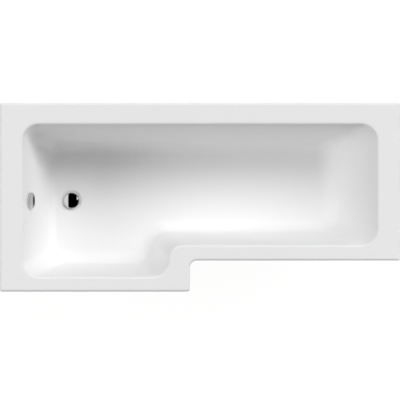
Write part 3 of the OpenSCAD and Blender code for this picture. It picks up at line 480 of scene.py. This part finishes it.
def lower_middle(node):
    lo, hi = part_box(node)
    return Vector(((lo[0] + hi[0]) / 2, (lo[1] + hi[1]) / 2, lo[2]))


def hexagon(name, body, at):
    """A nut: a hexagon with its corners turned down to a cone, and its hole countersunk."""
    corner = nut_across / math.sqrt(3)
    past, flat, slope = corner + 0.0002, nut_across / 2 - 0.0002, 1.1 * nut_cone
    blank = bmesh.new()
    bmesh.ops.create_cone(blank, cap_ends=True, segments=6, radius1=corner, radius2=corner,
                          depth=nut_height, matrix=Matrix.Translation((0, 0, nut_height / 2)))
    blank.transform(Matrix.Rotation(math.pi / 2, 4, "Z"))
    made = piece(name, blank, zinc_plate, body, at)
    rounded = turned([(nut_bore, nut_cone, 0), (nut_bore + nut_cone, 0, 0), (flat, 0, 0),
                      (past, slope, 0), (past, nut_height - slope, 0), (flat, nut_height, 0),
                      (nut_bore + nut_cone, nut_height, 0), (nut_bore, nut_height - nut_cone, 0)],
                     ring=True)
    rounded.transform(at)
    carved(made, rounded, "INTERSECT", sharp=25)
    return made


zinc_plate = finish("zinc-plated steel", (0.64, 0.65, 0.66), roughness=0.3, metal=1.0)
toned(zinc_plate, noise(zinc_plate, scale=220.0, detail=4.0),
      [(0.3, (0.56, 0.57, 0.58)), (0.7, (0.70, 0.71, 0.70))])
toned(zinc_plate, noise(zinc_plate, scale=90.0, detail=3.0), [(0.3, 0.22), (0.75, 0.42)],
      into="Roughness")
weld = finish("weld", (0.20, 0.19, 0.19), roughness=0.45, metal=1.0)
toned(weld, noise(weld, scale=400.0, detail=3.0),
      [(0.3, (0.10, 0.09, 0.09)), (0.8, (0.34, 0.33, 0.33))])
for foot in feet:
    rod_at = lower_middle("foot_rod_%d" % foot)
    stands_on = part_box("lock_nut_%d" % foot)[1][2] + strip + 2 * nut_gap
    nut = hexagon("welded_nut_%d" % foot, "bath",
                  Matrix.Translation((rod_at.x, rod_at.y, stands_on)))
    beads = bmesh.new()
    for side in (-1, 1):
        for k in range(beads_in_run):
            spot = Matrix.Translation((rod_at.x + run_start + bead_step * k,
                                       rod_at.y + side * run_beside, stands_on))
            bmesh.ops.create_uvsphere(beads, u_segments=12, v_segments=6, radius=bead_radius,
                                      matrix=spot @ Matrix.Diagonal((1, 1, bead_flatness, 1)))
    run = piece("weld_runs_%d" % foot, beads, weld, "bath")
    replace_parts(run, "welded_nuts")
    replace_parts(nut, "welded_nuts")

# ---- Wood screws -------------------------------------------------------------------------
# Zinc-plated pan-head screws with a cross recess: twelve hold the bars to the baseboard and
# four hold the wall brackets to the back batten. Only the heads show.
screw_radius, head_radius, head_height = 0.0025, 0.005, 0.003
cross_turn, cross_sunk, blade_width = 0.4, 0.0004, 0.22


def loose_parts(node):
    """The boxes of a node's separate pieces, low and high corner each."""
    bm = bmesh.new()
    bm.from_mesh(bpy.data.objects[node].data)
    bmesh.ops.remove_doubles(bm, verts=bm.verts, dist=weld_distance)
    reached, boxes = set(), []
    for first in bm.verts:
        part = [] if first in reached else [first]
        reached.add(first)
        for v in part:
            near = [e.other_vert(v) for e in v.link_edges if e.other_vert(v) not in reached]
            reached.update(near)
            part.extend(near)
        if part:
            boxes.append([Vector(f(v.co[i] for v in part) for i in range(3)) for f in (min, max)])
    bm.free()
    return boxes


def wood_screws(name, node, length):
    """One screw where each of a node's own stands, its head hanging under its seat."""
    spots = [Vector(((lo.x + hi.x) / 2, (lo.y + hi.y) / 2, lo.z + head_height))
             for lo, hi in loose_parts(node)]
    bm = bmesh.new()
    for spot in spots:
        one = turned([(0, -head_height, 0), (0.0022, -head_height * 0.93, 0.0008),
                      (0.0043, -0.0016, 0.0009), (head_radius, -0.0003, 0), (head_radius, 0, 0),
                      (screw_radius, 0, 0), (screw_radius, length - 0.004, 0),
                      (0.0004, length, 0), (0, length, 0)], steps=32)
        mesh = bpy.data.meshes.new("screw")
        one.transform(Matrix.Translation(spot))
        one.to_mesh(mesh)
        one.free()
        bm.from_mesh(mesh)
        bpy.data.meshes.remove(mesh)
    made = piece(name, bm, zinc_plate, "bath")
    for turn in (cross_turn, cross_turn + math.pi / 2):
        blades = bmesh.new()
        for spot in spots:
            bmesh.ops.create_cone(blades, cap_ends=True, segments=4, radius1=0.0030,
                                  radius2=0.0016, depth=0.0024, matrix=Matrix.Translation(spot)
                                  @ Matrix.Translation((0, 0, cross_sunk - head_height))
                                  @ Matrix.Rotation(turn, 4, "Z")
                                  @ Matrix.Diagonal((1, blade_width, 1, 1))
                                  @ Matrix.Rotation(math.pi / 4, 4, "Z"))
        carved(made, blades, sharp=30)
    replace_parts(made, node)


wood_screws("screws_of_the_bars", "bar_screws", length=0.016)
wood_screws("screws_of_the_brackets", "bracket_screws", length=0.014)

# ---- Feet --------------------------------------------------------------------------------
# Six alike: a black moulded pad, and a zinc-plated threaded rod held in it that screws through
# the welded nut, with a lock nut under the bar. The three turn up and down together.
rod_radius, thread_pitch, thread_depth = 0.005, 0.0015, 0.0008
pad_ribs, rib_slope, rib_size, rib_easing = 12, 0.17, (0.014, 0.0014, 0.004), 0.0004


def threaded(radius, pitch, depth, low, high, steps=20):
    """A screw thread: one notch of its profile wound upwards, cut off square at both ends."""
    bm = bmesh.new()
    heights = ((radius - depth, 0), (radius, 0.42), (radius, 0.58), (radius - depth, 1))
    notch = [bm.verts.new((r, 0, low - pitch + share * pitch)) for r, share in heights]
    for pair in zip(notch, notch[1:]):
        bm.edges.new(pair)
    bmesh.ops.spin(bm, geom=bm.verts[:] + bm.edges[:], axis=(0, 0, 1), cent=(0, 0, 0),
                   angle=2 * math.pi, steps=steps, dvec=(0, 0, pitch / steps))
    turns = 1
    while turns * pitch < high - low + 2 * pitch:
        more = bmesh.ops.duplicate(bm, geom=bm.verts[:] + bm.edges[:] + bm.faces[:])["geom"]
        bmesh.ops.translate(bm, vec=(0, 0, turns * pitch),
                            verts=[v for v in more if isinstance(v, bmesh.types.BMVert)])
        turns *= 2
    bmesh.ops.remove_doubles(bm, verts=bm.verts, dist=weld_distance)
    for level_at, way in ((low, -1), (high, 1)):
        bmesh.ops.bisect_plane(bm, geom=bm.verts[:] + bm.edges[:] + bm.faces[:], dist=1e-7,
                               plane_co=(0, 0, level_at), plane_no=(0, 0, way), clear_outer=True)
        bmesh.ops.holes_fill(bm, edges=[e for e in bm.edges if e.is_boundary and all(
            abs(v.co.z - level_at) < 1e-6 for v in e.verts)])
    bmesh.ops.recalc_face_normals(bm, faces=bm.faces)
    return bm


def block(bm, at, size, easing, segments=2):
    """Adds a moulded block with eased edges to a shape."""
    made = bmesh.ops.create_cube(bm, size=1, matrix=at @ Matrix.Diagonal((*size, 1)))["verts"]
    edges = list(dict.fromkeys(e for v in made for e in v.link_edges))
    bmesh.ops.bevel(bm, geom=edges, offset=easing, segments=segments, profile=0.5,
                    affect="EDGES", material=-1)


black_plastic = finish("black polypropylene", (0.018, 0.018, 0.019), roughness=0.5)
toned(black_plastic, noise(black_plastic, scale=120.0, detail=4.0),
      [(0.3, (0.013, 0.013, 0.014)), (0.75, (0.030, 0.030, 0.031))])
relief(black_plastic, noise(black_plastic, scale=900.0, detail=2.0), height=0.0001)
for foot in feet:
    body = "foot_%d" % foot
    rod = lower_middle("foot_rod_%d" % foot)
    rod_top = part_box("foot_rod_%d" % foot)[1][2]
    stand = Matrix.Translation((rod.x, rod.y, 0))
    pad = turned([(0, 0.0005, 0), (0.022, 0.0005, 0), (0.0225, 0, 0), (0.0275, 0, 0.0006),
                  (0.028, 0.001, 0.0004), (0.028, 0.003, 0.001), (0.026, 0.005, 0.001),
                  (0.014, 0.007, 0.002), (0.010, 0.011, 0.002), (0.010, 0.020, 0.0008),
                  (0.0051, 0.020, 0.0003), (0.0051, 0.008, 0), (0, 0.008, 0)])
    for k in range(pad_ribs):
        block(pad, Matrix.Rotation(2 * math.pi * k / pad_ribs, 4, "Z")
              @ Matrix.Translation((0.0165, 0, 0.0065)) @ Matrix.Rotation(rib_slope, 4, "Y"),
              rib_size, rib_easing)
    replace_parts(piece("pad_%d" % foot, pad, black_plastic, body, stand),
                "foot_pad_%d" % foot)
    screw = threaded(rod_radius, thread_pitch, thread_depth, rod.z, rod_top)
    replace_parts(piece("rod_%d" % foot, screw, zinc_plate, body, stand),
                "foot_rod_%d" % foot)
    nut_at = lower_middle("lock_nut_%d" % foot)
    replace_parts(hexagon("lock_%d" % foot, body, Matrix.Translation(nut_at)),
                "lock_nut_%d" % foot)

# ---- Wall brackets -----------------------------------------------------------------------
# Cranked strips of galvanised steel, screwed up into the back batten, down inside the lip and
# out against the wall, where each takes one wall screw.
for bracket in ("waste_end", "head_end"):
    eased("bracket_" + bracket, "wall_bracket_" + bracket, galvanised,
          sheared_edge, shape=lambda bm: bend(bm, along=Vector((1, 0, 0))))

# ---- Waste -------------------------------------------------------------------------------
# A chromed flange with a dished top stands in the recess on a gasket. Its tail goes through
# the floor and a washer into a white moulded body, whose threaded outlet takes the trap.
waste = Matrix.Translation(waste_at)
flange_bore, tail_radius, flange_radius, tail_low = 0.0200, 0.0225, 0.0365, 0.1055
flange_top, gasket_top, washer_top, body_top = 0.1505, 0.1475, 0.142, 0.139
inlet_z, inlet_end, inlet_length, inlet_radius, inlet_bore = 0.118, -0.068, 0.0363, 0.014, 0.0105
outlet_low, outlet_top, outlet_radius, outlet_bore = 0.069, 0.0985, 0.0239, 0.019
outlet_pitch, outlet_thread_depth = 0.0023, 0.0012
lug_size, lug_easing = (0.0034, 0.003, 0.026), 0.0006
chrome = finish("chrome", (0.80, 0.80, 0.81), roughness=0.05, metal=1.0)
toned(chrome, noise(chrome, scale=45.0, detail=3.0), [(0.3, 0.035), (0.8, 0.075)],
      into="Roughness")
flange = turned([(flange_bore, tail_low, 0.0005), (tail_radius, tail_low, 0.0005),
                 (tail_radius, 0.1440, 0.001), (0.0250, gasket_top, 0),
                 (flange_radius, gasket_top, 0.0004), (flange_radius, flange_top, 0.0016),
                 (0.0285, flange_top, 0.0020), (0.0215, 0.1470, 0.0016),
                 (flange_bore, 0.1450, 0.0008)], steps=128, ring=True)
chromed_flange = piece("flange", flange, chrome, "bath", waste)
slots = bmesh.new()
for k in range(4):
    bmesh.ops.create_cube(slots, size=1, matrix=waste @ Matrix.Rotation(math.pi / 2 * k, 4, "Z")
                          @ Matrix.Translation((0.021, 0, inlet_z))
                          @ Matrix.Diagonal((0.008, 0.012, 0.010, 1)))
carved(chromed_flange, slots)
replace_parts(chromed_flange, "waste_flange")

rubber = finish("black rubber", (0.022, 0.022, 0.022), roughness=0.75)
toned(rubber, noise(rubber, scale=150.0, detail=4.0),
      [(0.3, (0.016, 0.016, 0.016)), (0.8, (0.036, 0.036, 0.035))])
relief(rubber, noise(rubber, scale=1500.0, detail=2.0), height=0.00008)
gasket = turned([(0.026, seat_z, 0.0005), (0.0355, seat_z, 0.0005), (0.0355, gasket_top, 0.0005),
                 (0.026, gasket_top, 0.0005)], ring=True)
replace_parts(piece("gasket", gasket, rubber, "bath", waste), "flange_gasket")
washer = turned([(0.024, body_top, 0.0006), (0.036, body_top, 0.0009), (0.036, washer_top, 0.0009),
                 (0.024, washer_top, 0.0006)], ring=True)
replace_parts(piece("washer", washer, rubber, "bath", waste), "waste_washer")

white_plastic = finish("white polypropylene", (0.74, 0.74, 0.72), roughness=0.38)
toned(white_plastic, noise(white_plastic, scale=35.0, detail=3.0),
      [(0.3, (0.70, 0.70, 0.68)), (0.75, (0.77, 0.77, 0.75))])
relief(white_plastic, noise(white_plastic, scale=700.0, detail=2.0), height=0.00006)
chamber = turned([(0.0227, body_top, 0.0005), (0.036, body_top, 0.0008), (0.036, 0.136, 0.0008),
                  (0.034, 0.136, 0.0004), (0.034, 0.107, 0.002), (0.0269, 0.099, 0.001),
                  (0.0228, 0.099, 0), (0.0228, 0.095, 0), (outlet_bore, 0.095, 0),
                  (outlet_bore, 0.101, 0), (0.0305, 0.106, 0), (0.0305, 0.131, 0),
                  (0.0227, 0.131, 0)], steps=96, ring=True)
waste_chamber = piece("chamber", chamber, white_plastic, "bath", waste)
lying = Matrix.Rotation(math.pi / 2, 4, "Y")
carved(waste_chamber,
       drill(0.011, 0.008, waste @ Matrix.Translation((-0.0325, 0, inlet_z)) @ lying))
inlet = turned([(inlet_bore, 0, 0.0005), (inlet_radius, 0, 0.001), (inlet_radius, inlet_length, 0),
                (inlet_bore, inlet_length, 0)], ring=True)
inlet.transform(Matrix.Translation((inlet_end, 0, inlet_z)) @ lying)
# Lugs stand all round the chamber but where the inlet comes in
for k in (0, 1, 2, 3, 4, 7, 8, 9, 10, 11):
    block(inlet, Matrix.Rotation(math.pi * (k + 0.5) / 6, 4, "Z")
          @ Matrix.Translation((0.0340, 0, 0.122)), lug_size, lug_easing)
inlet_and_lugs = piece("inlet_and_lugs", inlet, white_plastic, "bath", waste)
thread = threaded(outlet_radius, outlet_pitch, outlet_thread_depth, outlet_low, outlet_top,
                  steps=72)
outlet = piece("outlet", thread, white_plastic, "bath", waste)
carved(outlet, drill(outlet_bore, 0.040, waste @ Matrix.Translation((0, 0, 0.084))))
for made in (waste_chamber, inlet_and_lugs, outlet):
    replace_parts(made, "waste_body")

# ---- Plug --------------------------------------------------------------------------------
# Push-down plug: a domed chromed cap with a rubber seal under it, on a plastic plunger that
# slides over a spring in a sleeve, whose three arms push into the flange's tail.
cap_radius, cap_top, cap_rise, dome_rings = 0.034, 0.1653, 0.0029, 20
cap_low, cap_foot, stem_radius, stem_top = 0.1558, 0.1598, 0.0035, 0.16325
seal_low, seal_bore = 0.1572, 0.00605
arm_size, arm_easing = (0.0123, 0.0035, 0.006), 0.0006
dome = [(cap_radius * k / dome_rings, cap_top - cap_rise * (k / dome_rings) ** 2, 0)
        for k in range(dome_rings - 1, -1, -1)]
cap = turned([(0.00355, cap_low, 0.0003), (0.0060, cap_low, 0.0008), (0.0060, cap_foot, 0.0006),
              (0.0333, cap_foot, 0.0004), (0.0339, 0.1608, 0.0006), (0.0335, 0.1623, 0.0005)]
             + dome + [(0, 0.1633, 0), (0.00355, 0.1633, 0)], steps=128, ring=True)
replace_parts(piece("cap", cap, chrome, "plug", waste, sharp=50), "plug_cap")
seal = turned([(seal_bore, cap_foot, 0), (0.0246, cap_foot, 0.0004), (0.0230, seal_low, 0.0006),
               (0.0200, seal_low, 0.0004), (0.0190, 0.1580, 0.0004), (0.0120, 0.1580, 0.0004),
               (0.0110, seal_low, 0.0004), (seal_bore, seal_low, 0.0004)], ring=True)
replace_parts(piece("seal", seal, rubber, "plug", waste), "plug_seal")
plunger = turned([(0, 0.1387, 0), (0.0057, 0.1387, 0.0004), (0.0057, 0.1427, 0.0006),
                  (stem_radius, 0.1427, 0.0003), (stem_radius, stem_top, 0.0005),
                  (0, stem_top, 0)], steps=64)
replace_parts(piece("plunger", plunger, white_plastic, "plug", waste),
            "plug_plunger")
sleeve = turned([(0, 0.1118, 0), (0.008, 0.1118, 0.0008), (0.008, 0.1408, 0.0002),
                 (0.0095, 0.1408, 0.0004), (0.0095, 0.1448, 0.0006), (0.0085, 0.1458, 0.0004),
                 (0.00358, 0.1458, 0.0003), (0.00358, 0.1428, 0.0002), (0.006, 0.1428, 0.0004),
                 (0.006, 0.1138, 0.0004), (0, 0.1138, 0)], steps=64)
for k in range(3):
    block(sleeve, Matrix.Rotation(math.pi / 2 + 2 * math.pi * k / 3, 4, "Z")
          @ Matrix.Translation((0.01365, 0, 0.1278)), arm_size, arm_easing, segments=3)
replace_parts(piece("sleeve", sleeve, white_plastic, "bath", waste), "plug_sleeve")

spring_steel = finish("spring steel", (0.50, 0.50, 0.51), roughness=0.25, metal=1.0)
toned(spring_steel, noise(spring_steel, scale=300.0, detail=2.0),
      [(0.3, (0.42, 0.42, 0.43)), (0.7, (0.56, 0.56, 0.57))])
wire, coil_radius, coils, coil_steps, pressed_share = 0.0005, 0.0051, 7, 36, 0.636
spring_low, spring_high = (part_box("plug_spring")[k][2] for k in (0, 1))
rise = spring_high - spring_low - 2 * wire
spring = bmesh.new()
bmesh.ops.create_circle(spring, cap_ends=True, segments=12, radius=wire,
                        matrix=Matrix.Translation((coil_radius, 0, spring_low + wire))
                        @ Matrix.Rotation(math.pi / 2, 4, "X"))
bmesh.ops.spin(spring, geom=spring.verts[:] + spring.edges[:] + spring.faces[:], axis=(0, 0, 1),
               cent=(0, 0, 0), angle=2 * math.pi * coils, steps=coil_steps * coils,
               dvec=(0, 0, rise / coils / coil_steps))
bmesh.ops.recalc_face_normals(spring, faces=spring.faces)
coil = piece("spring", spring, spring_steel, "bath", waste)
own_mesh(coil)
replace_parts(coil, "plug_spring")

# ---- Overflow ----------------------------------------------------------------------------
# A plated plastic cover grips a plastic bush in the end wall; behind the wall a gasket and an
# elbow, and a ribbed hose held by two fluted nuts, which leads down into the waste's body.
cover_radius, cover_hollow = 0.0365, 0.0345
cover_low, cover_step, cover_inside = 0.001, 0.004, 0.0126
bush_radius, bush_bore, bush_back = 0.029, 0.0185, -0.023
gasket_front, gasket_back = -0.0081, -0.0109
# Its colour is set darker than the waste's chrome: painted shade that dims the cover
plated_plastic = finish("chrome-plated plastic", (0.60, 0.60, 0.61), roughness=0.10, metal=1.0)
toned(plated_plastic, noise(plated_plastic, scale=60.0, detail=3.0), [(0.3, 0.08), (0.8, 0.14)],
      into="Roughness")
cover = turned([(0.02905, cover_low, 0.0004), (cover_radius, cover_low, 0.0006),
                (cover_radius, 0.014, 0.003), (0, 0.0146, 0), (0, cover_inside, 0),
                (cover_hollow, 0.012, 0.002), (cover_hollow, cover_step, 0),
                (0.02905, cover_step, 0)], steps=128, ring=True)
plated_cover = piece("cover", cover, plated_plastic, "bath", end_wall)
opening = bmesh.new()
bmesh.ops.create_cube(opening, size=1, matrix=Matrix.Translation((0.020, 0, 0.014))
                      @ Matrix.Diagonal((0.024, 0.026, 0.008, 1)))
corners = [e for e in opening.edges if abs(e.verts[0].co.z - e.verts[1].co.z) > 0.001]
bmesh.ops.bevel(opening, geom=corners, offset=0.005, segments=8, profile=0.5, affect="EDGES",
                material=-1)
opening.transform(end_wall)
carved(plated_cover, opening)
# The inside faces get the black plastic: painted shade, so that the slot shows dark
plated_cover.data.materials.append(black_plastic)
for face in plated_cover.data.polygons:
    middle = end_wall.inverted() @ face.center
    if middle.z < cover_inside + 0.0001 and middle.xy.length < cover_hollow + 0.0001:
        face.material_index = 1
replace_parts(plated_cover, "overflow_cover")
bush = turned([(bush_bore, 0.0035, 0.0005), (bush_radius, 0.0035, 0.0008),
               (bush_radius, 0.00005, 0.0004), (0.021, 0.00005, 0), (0.021, bush_back, 0.0005),
               (bush_bore, bush_back, 0.0005)], ring=True)
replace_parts(piece("bush", bush, black_plastic, "bath", end_wall), "overflow_bush")
wall_gasket = turned([(0.023, gasket_back, 0.0006), (0.031, gasket_back, 0.0008),
                      (0.031, gasket_front, 0.0008), (0.023, gasket_front, 0.0006)], ring=True)
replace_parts(piece("wall_gasket", wall_gasket, rubber, "bath", end_wall),
            "overflow_gasket")
eased("elbow", "overflow_elbow", white_plastic, radius=0.0004)

hose_plastic = finish("grey hose plastic", (0.50, 0.50, 0.49), roughness=0.42)
toned(hose_plastic, noise(hose_plastic, scale=60.0, detail=4.0),
      [(0.3, (0.44, 0.44, 0.43)), (0.75, (0.55, 0.55, 0.54))])
hose_top = Vector((-0.79536, waste_at.y, 0.395774))
hose_end = Vector((-0.65005, waste_at.y, inlet_z))
hose_radius, hose_bore, cuff_length, cuff_sunk, rib_sunk = 0.0155, 0.0115, 0.0248, 0.001, 0.0020
rib_count, bore_steps, bend_steps, straight = 55, 60, 400, 0.031
bend_from = hose_top - Vector((0, 0, straight))
bend_to = hose_end - Vector((straight, 0, 0))
handles = (bend_from, bend_from - Vector((0, 0, 0.6 * (bend_from.z - bend_to.z))),
           bend_to - Vector((0.55 * (bend_to.x - bend_from.x), 0, 0)), bend_to)


def on_bend(t):
    """The point at a share t of the bend, and the way the hose runs there."""
    a, b, c, d = handles
    u = 1 - t
    return (u ** 3 * a + 3 * u * u * t * b + 3 * u * t * t * c + t ** 3 * d,
            (u * u * (b - a) + 2 * u * t * (c - b) + t * t * (d - c)).normalized())


chords = [0.0]
for k in range(bend_steps):
    chord = on_bend((k + 1) / bend_steps)[0] - on_bend(k / bend_steps)[0]
    chords.append(chords[-1] + chord.length)
hose_length = chords[-1] + 2 * straight


def laid(co):
    """Moves a point of the straight hose to its place along the bend."""
    s = co.z
    if s < straight:
        middle, way = hose_top - Vector((0, 0, s)), Vector((0, 0, -1))
    elif s > hose_length - straight:
        middle, way = hose_end - Vector((hose_length - s, 0, 0)), Vector((1, 0, 0))
    else:
        k = min(bisect.bisect_right(chords, s - straight), bend_steps)
        share = (s - straight - chords[k - 1]) / (chords[k] - chords[k - 1])
        middle, way = on_bend((k - 1 + share) / bend_steps)
    return middle + co.x * Vector((0, 1, 0)) + co.y * way.cross(Vector((0, 1, 0)))


cuff_radius = hose_radius - cuff_sunk
ribs = [(hose_bore, 0, 0.0004), (cuff_radius, 0, 0.0006), (cuff_radius, cuff_length, 0.0006)]
rib_pitch = (hose_length - 2 * cuff_length) / rib_count
for k in range(rib_count):
    for share, sunk in ((0.12, rib_sunk), (0.38, rib_sunk), (0.62, 0.0), (0.88, 0.0)):
        ribs.append((hose_radius - sunk, cuff_length + rib_pitch * k + share * rib_pitch, 0.0004))
ribs += [(cuff_radius, hose_length - cuff_length, 0.0006), (cuff_radius, hose_length, 0.0006),
         (hose_bore, hose_length, 0.0004)]
ribs += [(hose_bore, hose_length * (1 - k / bore_steps), 0) for k in range(1, bore_steps)]
hose = turned(ribs, steps=32, ring=True)
for v in hose.verts:
    v.co = laid(v.co)
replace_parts(piece("hose", hose, hose_plastic, "bath"), "overflow_hose")
for end in ("top", "bottom"):
    eased("nut_" + end, "hose_nut_" + end, white_plastic, radius=0.0004)

# ---- Stage -------------------------------------------------------------------------------
# A plain pale floor, as low as the feet reach when they are screwed right out, a white surround,
# three wide soft lamps from the back and both ends, and a long lens straight above.
stage_z, stage_half = -0.0305, 9
floor_mesh = bmesh.new()
bmesh.ops.create_grid(floor_mesh, x_segments=1, y_segments=1, size=stage_half,
                      matrix=Matrix.Translation((0, 0, stage_z)))
ground = bpy.data.meshes.new("studio_floor")
floor_mesh.to_mesh(ground)
floor_mesh.free()
pale = finish("pale floor", (0.75, 0.75, 0.75), roughness=0.9)
nodes, links = pale.node_tree.nodes, pale.node_tree.links
shadow_share = nodes.new("ShaderNodeBsdfDiffuse")
shadow_share.inputs["Color"].default_value = (0.12, 0.12, 0.12, 1)
white_share = nodes.new("ShaderNodeEmission")
white_share.inputs["Strength"].default_value = 0.95
seen_floor = nodes.new("ShaderNodeAddShader")
links.new(shadow_share.outputs[0], seen_floor.inputs[0])
links.new(white_share.outputs[0], seen_floor.inputs[1])


def seen_directly(tree):
    """1 where the camera, a reflection or a clear piece looks, and 0 where light bounces."""
    path = tree.nodes.new("ShaderNodeLightPath")
    total = path.outputs["Is Camera Ray"]
    for ray in ("Is Glossy Ray", "Is Transmission Ray"):
        either = tree.nodes.new("ShaderNodeMath")
        either.operation = "MAXIMUM"
        tree.links.new(total, either.inputs[0])
        tree.links.new(path.outputs[ray], either.inputs[1])
        total = either.outputs[0]
    return total


def chosen(tree, bounced, seen, into):
    """Lights the object with one shader, and shows the other where it is seen directly."""
    mixed = tree.nodes.new("ShaderNodeMixShader")
    tree.links.new(seen_directly(tree), mixed.inputs[0])
    tree.links.new(bounced.outputs[0], mixed.inputs[1])
    tree.links.new(seen.outputs[0], mixed.inputs[2])
    tree.links.new(mixed.outputs[0], tree.nodes[into].inputs["Surface"])


chosen(pale.node_tree, nodes["Principled BSDF"], seen_floor, "Material Output")
ground.materials.append(pale)
studio_floor = bpy.data.objects.new("studio_floor", ground)
bpy.context.scene.collection.objects.link(studio_floor)

world = bpy.data.worlds.new("white surround")
world.use_nodes = True
fill = world.node_tree.nodes["Background"]
fill.inputs["Color"].default_value = (1, 1, 1, 1)
fill.inputs["Strength"].default_value = 0.24
white = world.node_tree.nodes.new("ShaderNodeBackground")
white.inputs["Strength"].default_value = 1.0
chosen(world.node_tree, fill, white, "World Output")
bpy.context.scene.world = world

# Each lamp: how far round from the back towards the head end, its height in degrees, its light
lamp_width = 25
for name, turn, height, energy in (("back lamp", 30, 50, 1.28), ("waste end lamp", -90, 35, 0.91),
                                   ("head end lamp", 60, 35, 0.82)):
    sun = bpy.data.lights.new(name, "SUN")
    sun.angle = math.radians(lamp_width)
    sun.energy = energy
    lamp = bpy.data.objects.new(name, sun)
    lamp.rotation_euler = (math.radians(90 - height), 0, math.radians(180 - turn))
    bpy.context.scene.collection.objects.link(lamp)


def card(name, place, size, glow):
    """A flat card over the set that only reflections see. It lights nothing and casts no shadow;
    it only paints a reflection into the chrome, bright where it glows.
    """
    bm = bmesh.new()
    bmesh.ops.create_grid(bm, x_segments=1, y_segments=1, size=0.5,
                          matrix=Matrix.Translation(place) @ Matrix.Diagonal((*size, 1, 1)))
    mesh = bpy.data.meshes.new(name)
    bm.to_mesh(mesh)
    bm.free()
    mat = finish(name, (0, 0, 0), roughness=1.0)
    shader = mat.node_tree.nodes["Principled BSDF"]
    shader.inputs["Specular IOR Level"].default_value = 0.0
    shader.inputs["Emission Color"].default_value = (1, 1, 1, 1)
    shader.inputs["Emission Strength"].default_value = glow
    mesh.materials.append(mat)
    made = bpy.data.objects.new(name, mesh)
    bpy.context.scene.collection.objects.link(made)
    for ray in ("camera", "diffuse", "transmission", "shadow", "volume_scatter"):
        setattr(made, "visible_" + ray, False)


# A dark card that only reflections see: a painted dark reflection across the plug's domed chrome
# cap
card("black card", place=(0.02, 0.0, 1.36), size=(1.60, 2.40), glow=0.0)
# A small glowing card that only reflections see: a painted highlight on the upper right edge of
# the plug's cap
card("white card", place=(-0.20, 0.148, 1.355), size=(0.12, 0.22), glow=1.0)

# The picture is as wide as the bath is long, and its middle lies a little to the front
picture_middle_y = -0.0128
lens = bpy.data.cameras.new("long lens")
lens.lens = 1500
lens.clip_end = 200
camera = bpy.data.objects.new("camera", lens)
camera.location = (0, picture_middle_y, rim_z + length * lens.lens / lens.sensor_width)
bpy.context.scene.collection.objects.link(camera)
bpy.context.scene.camera = camera
bpy.context.scene.view_settings.view_transform = "Standard"
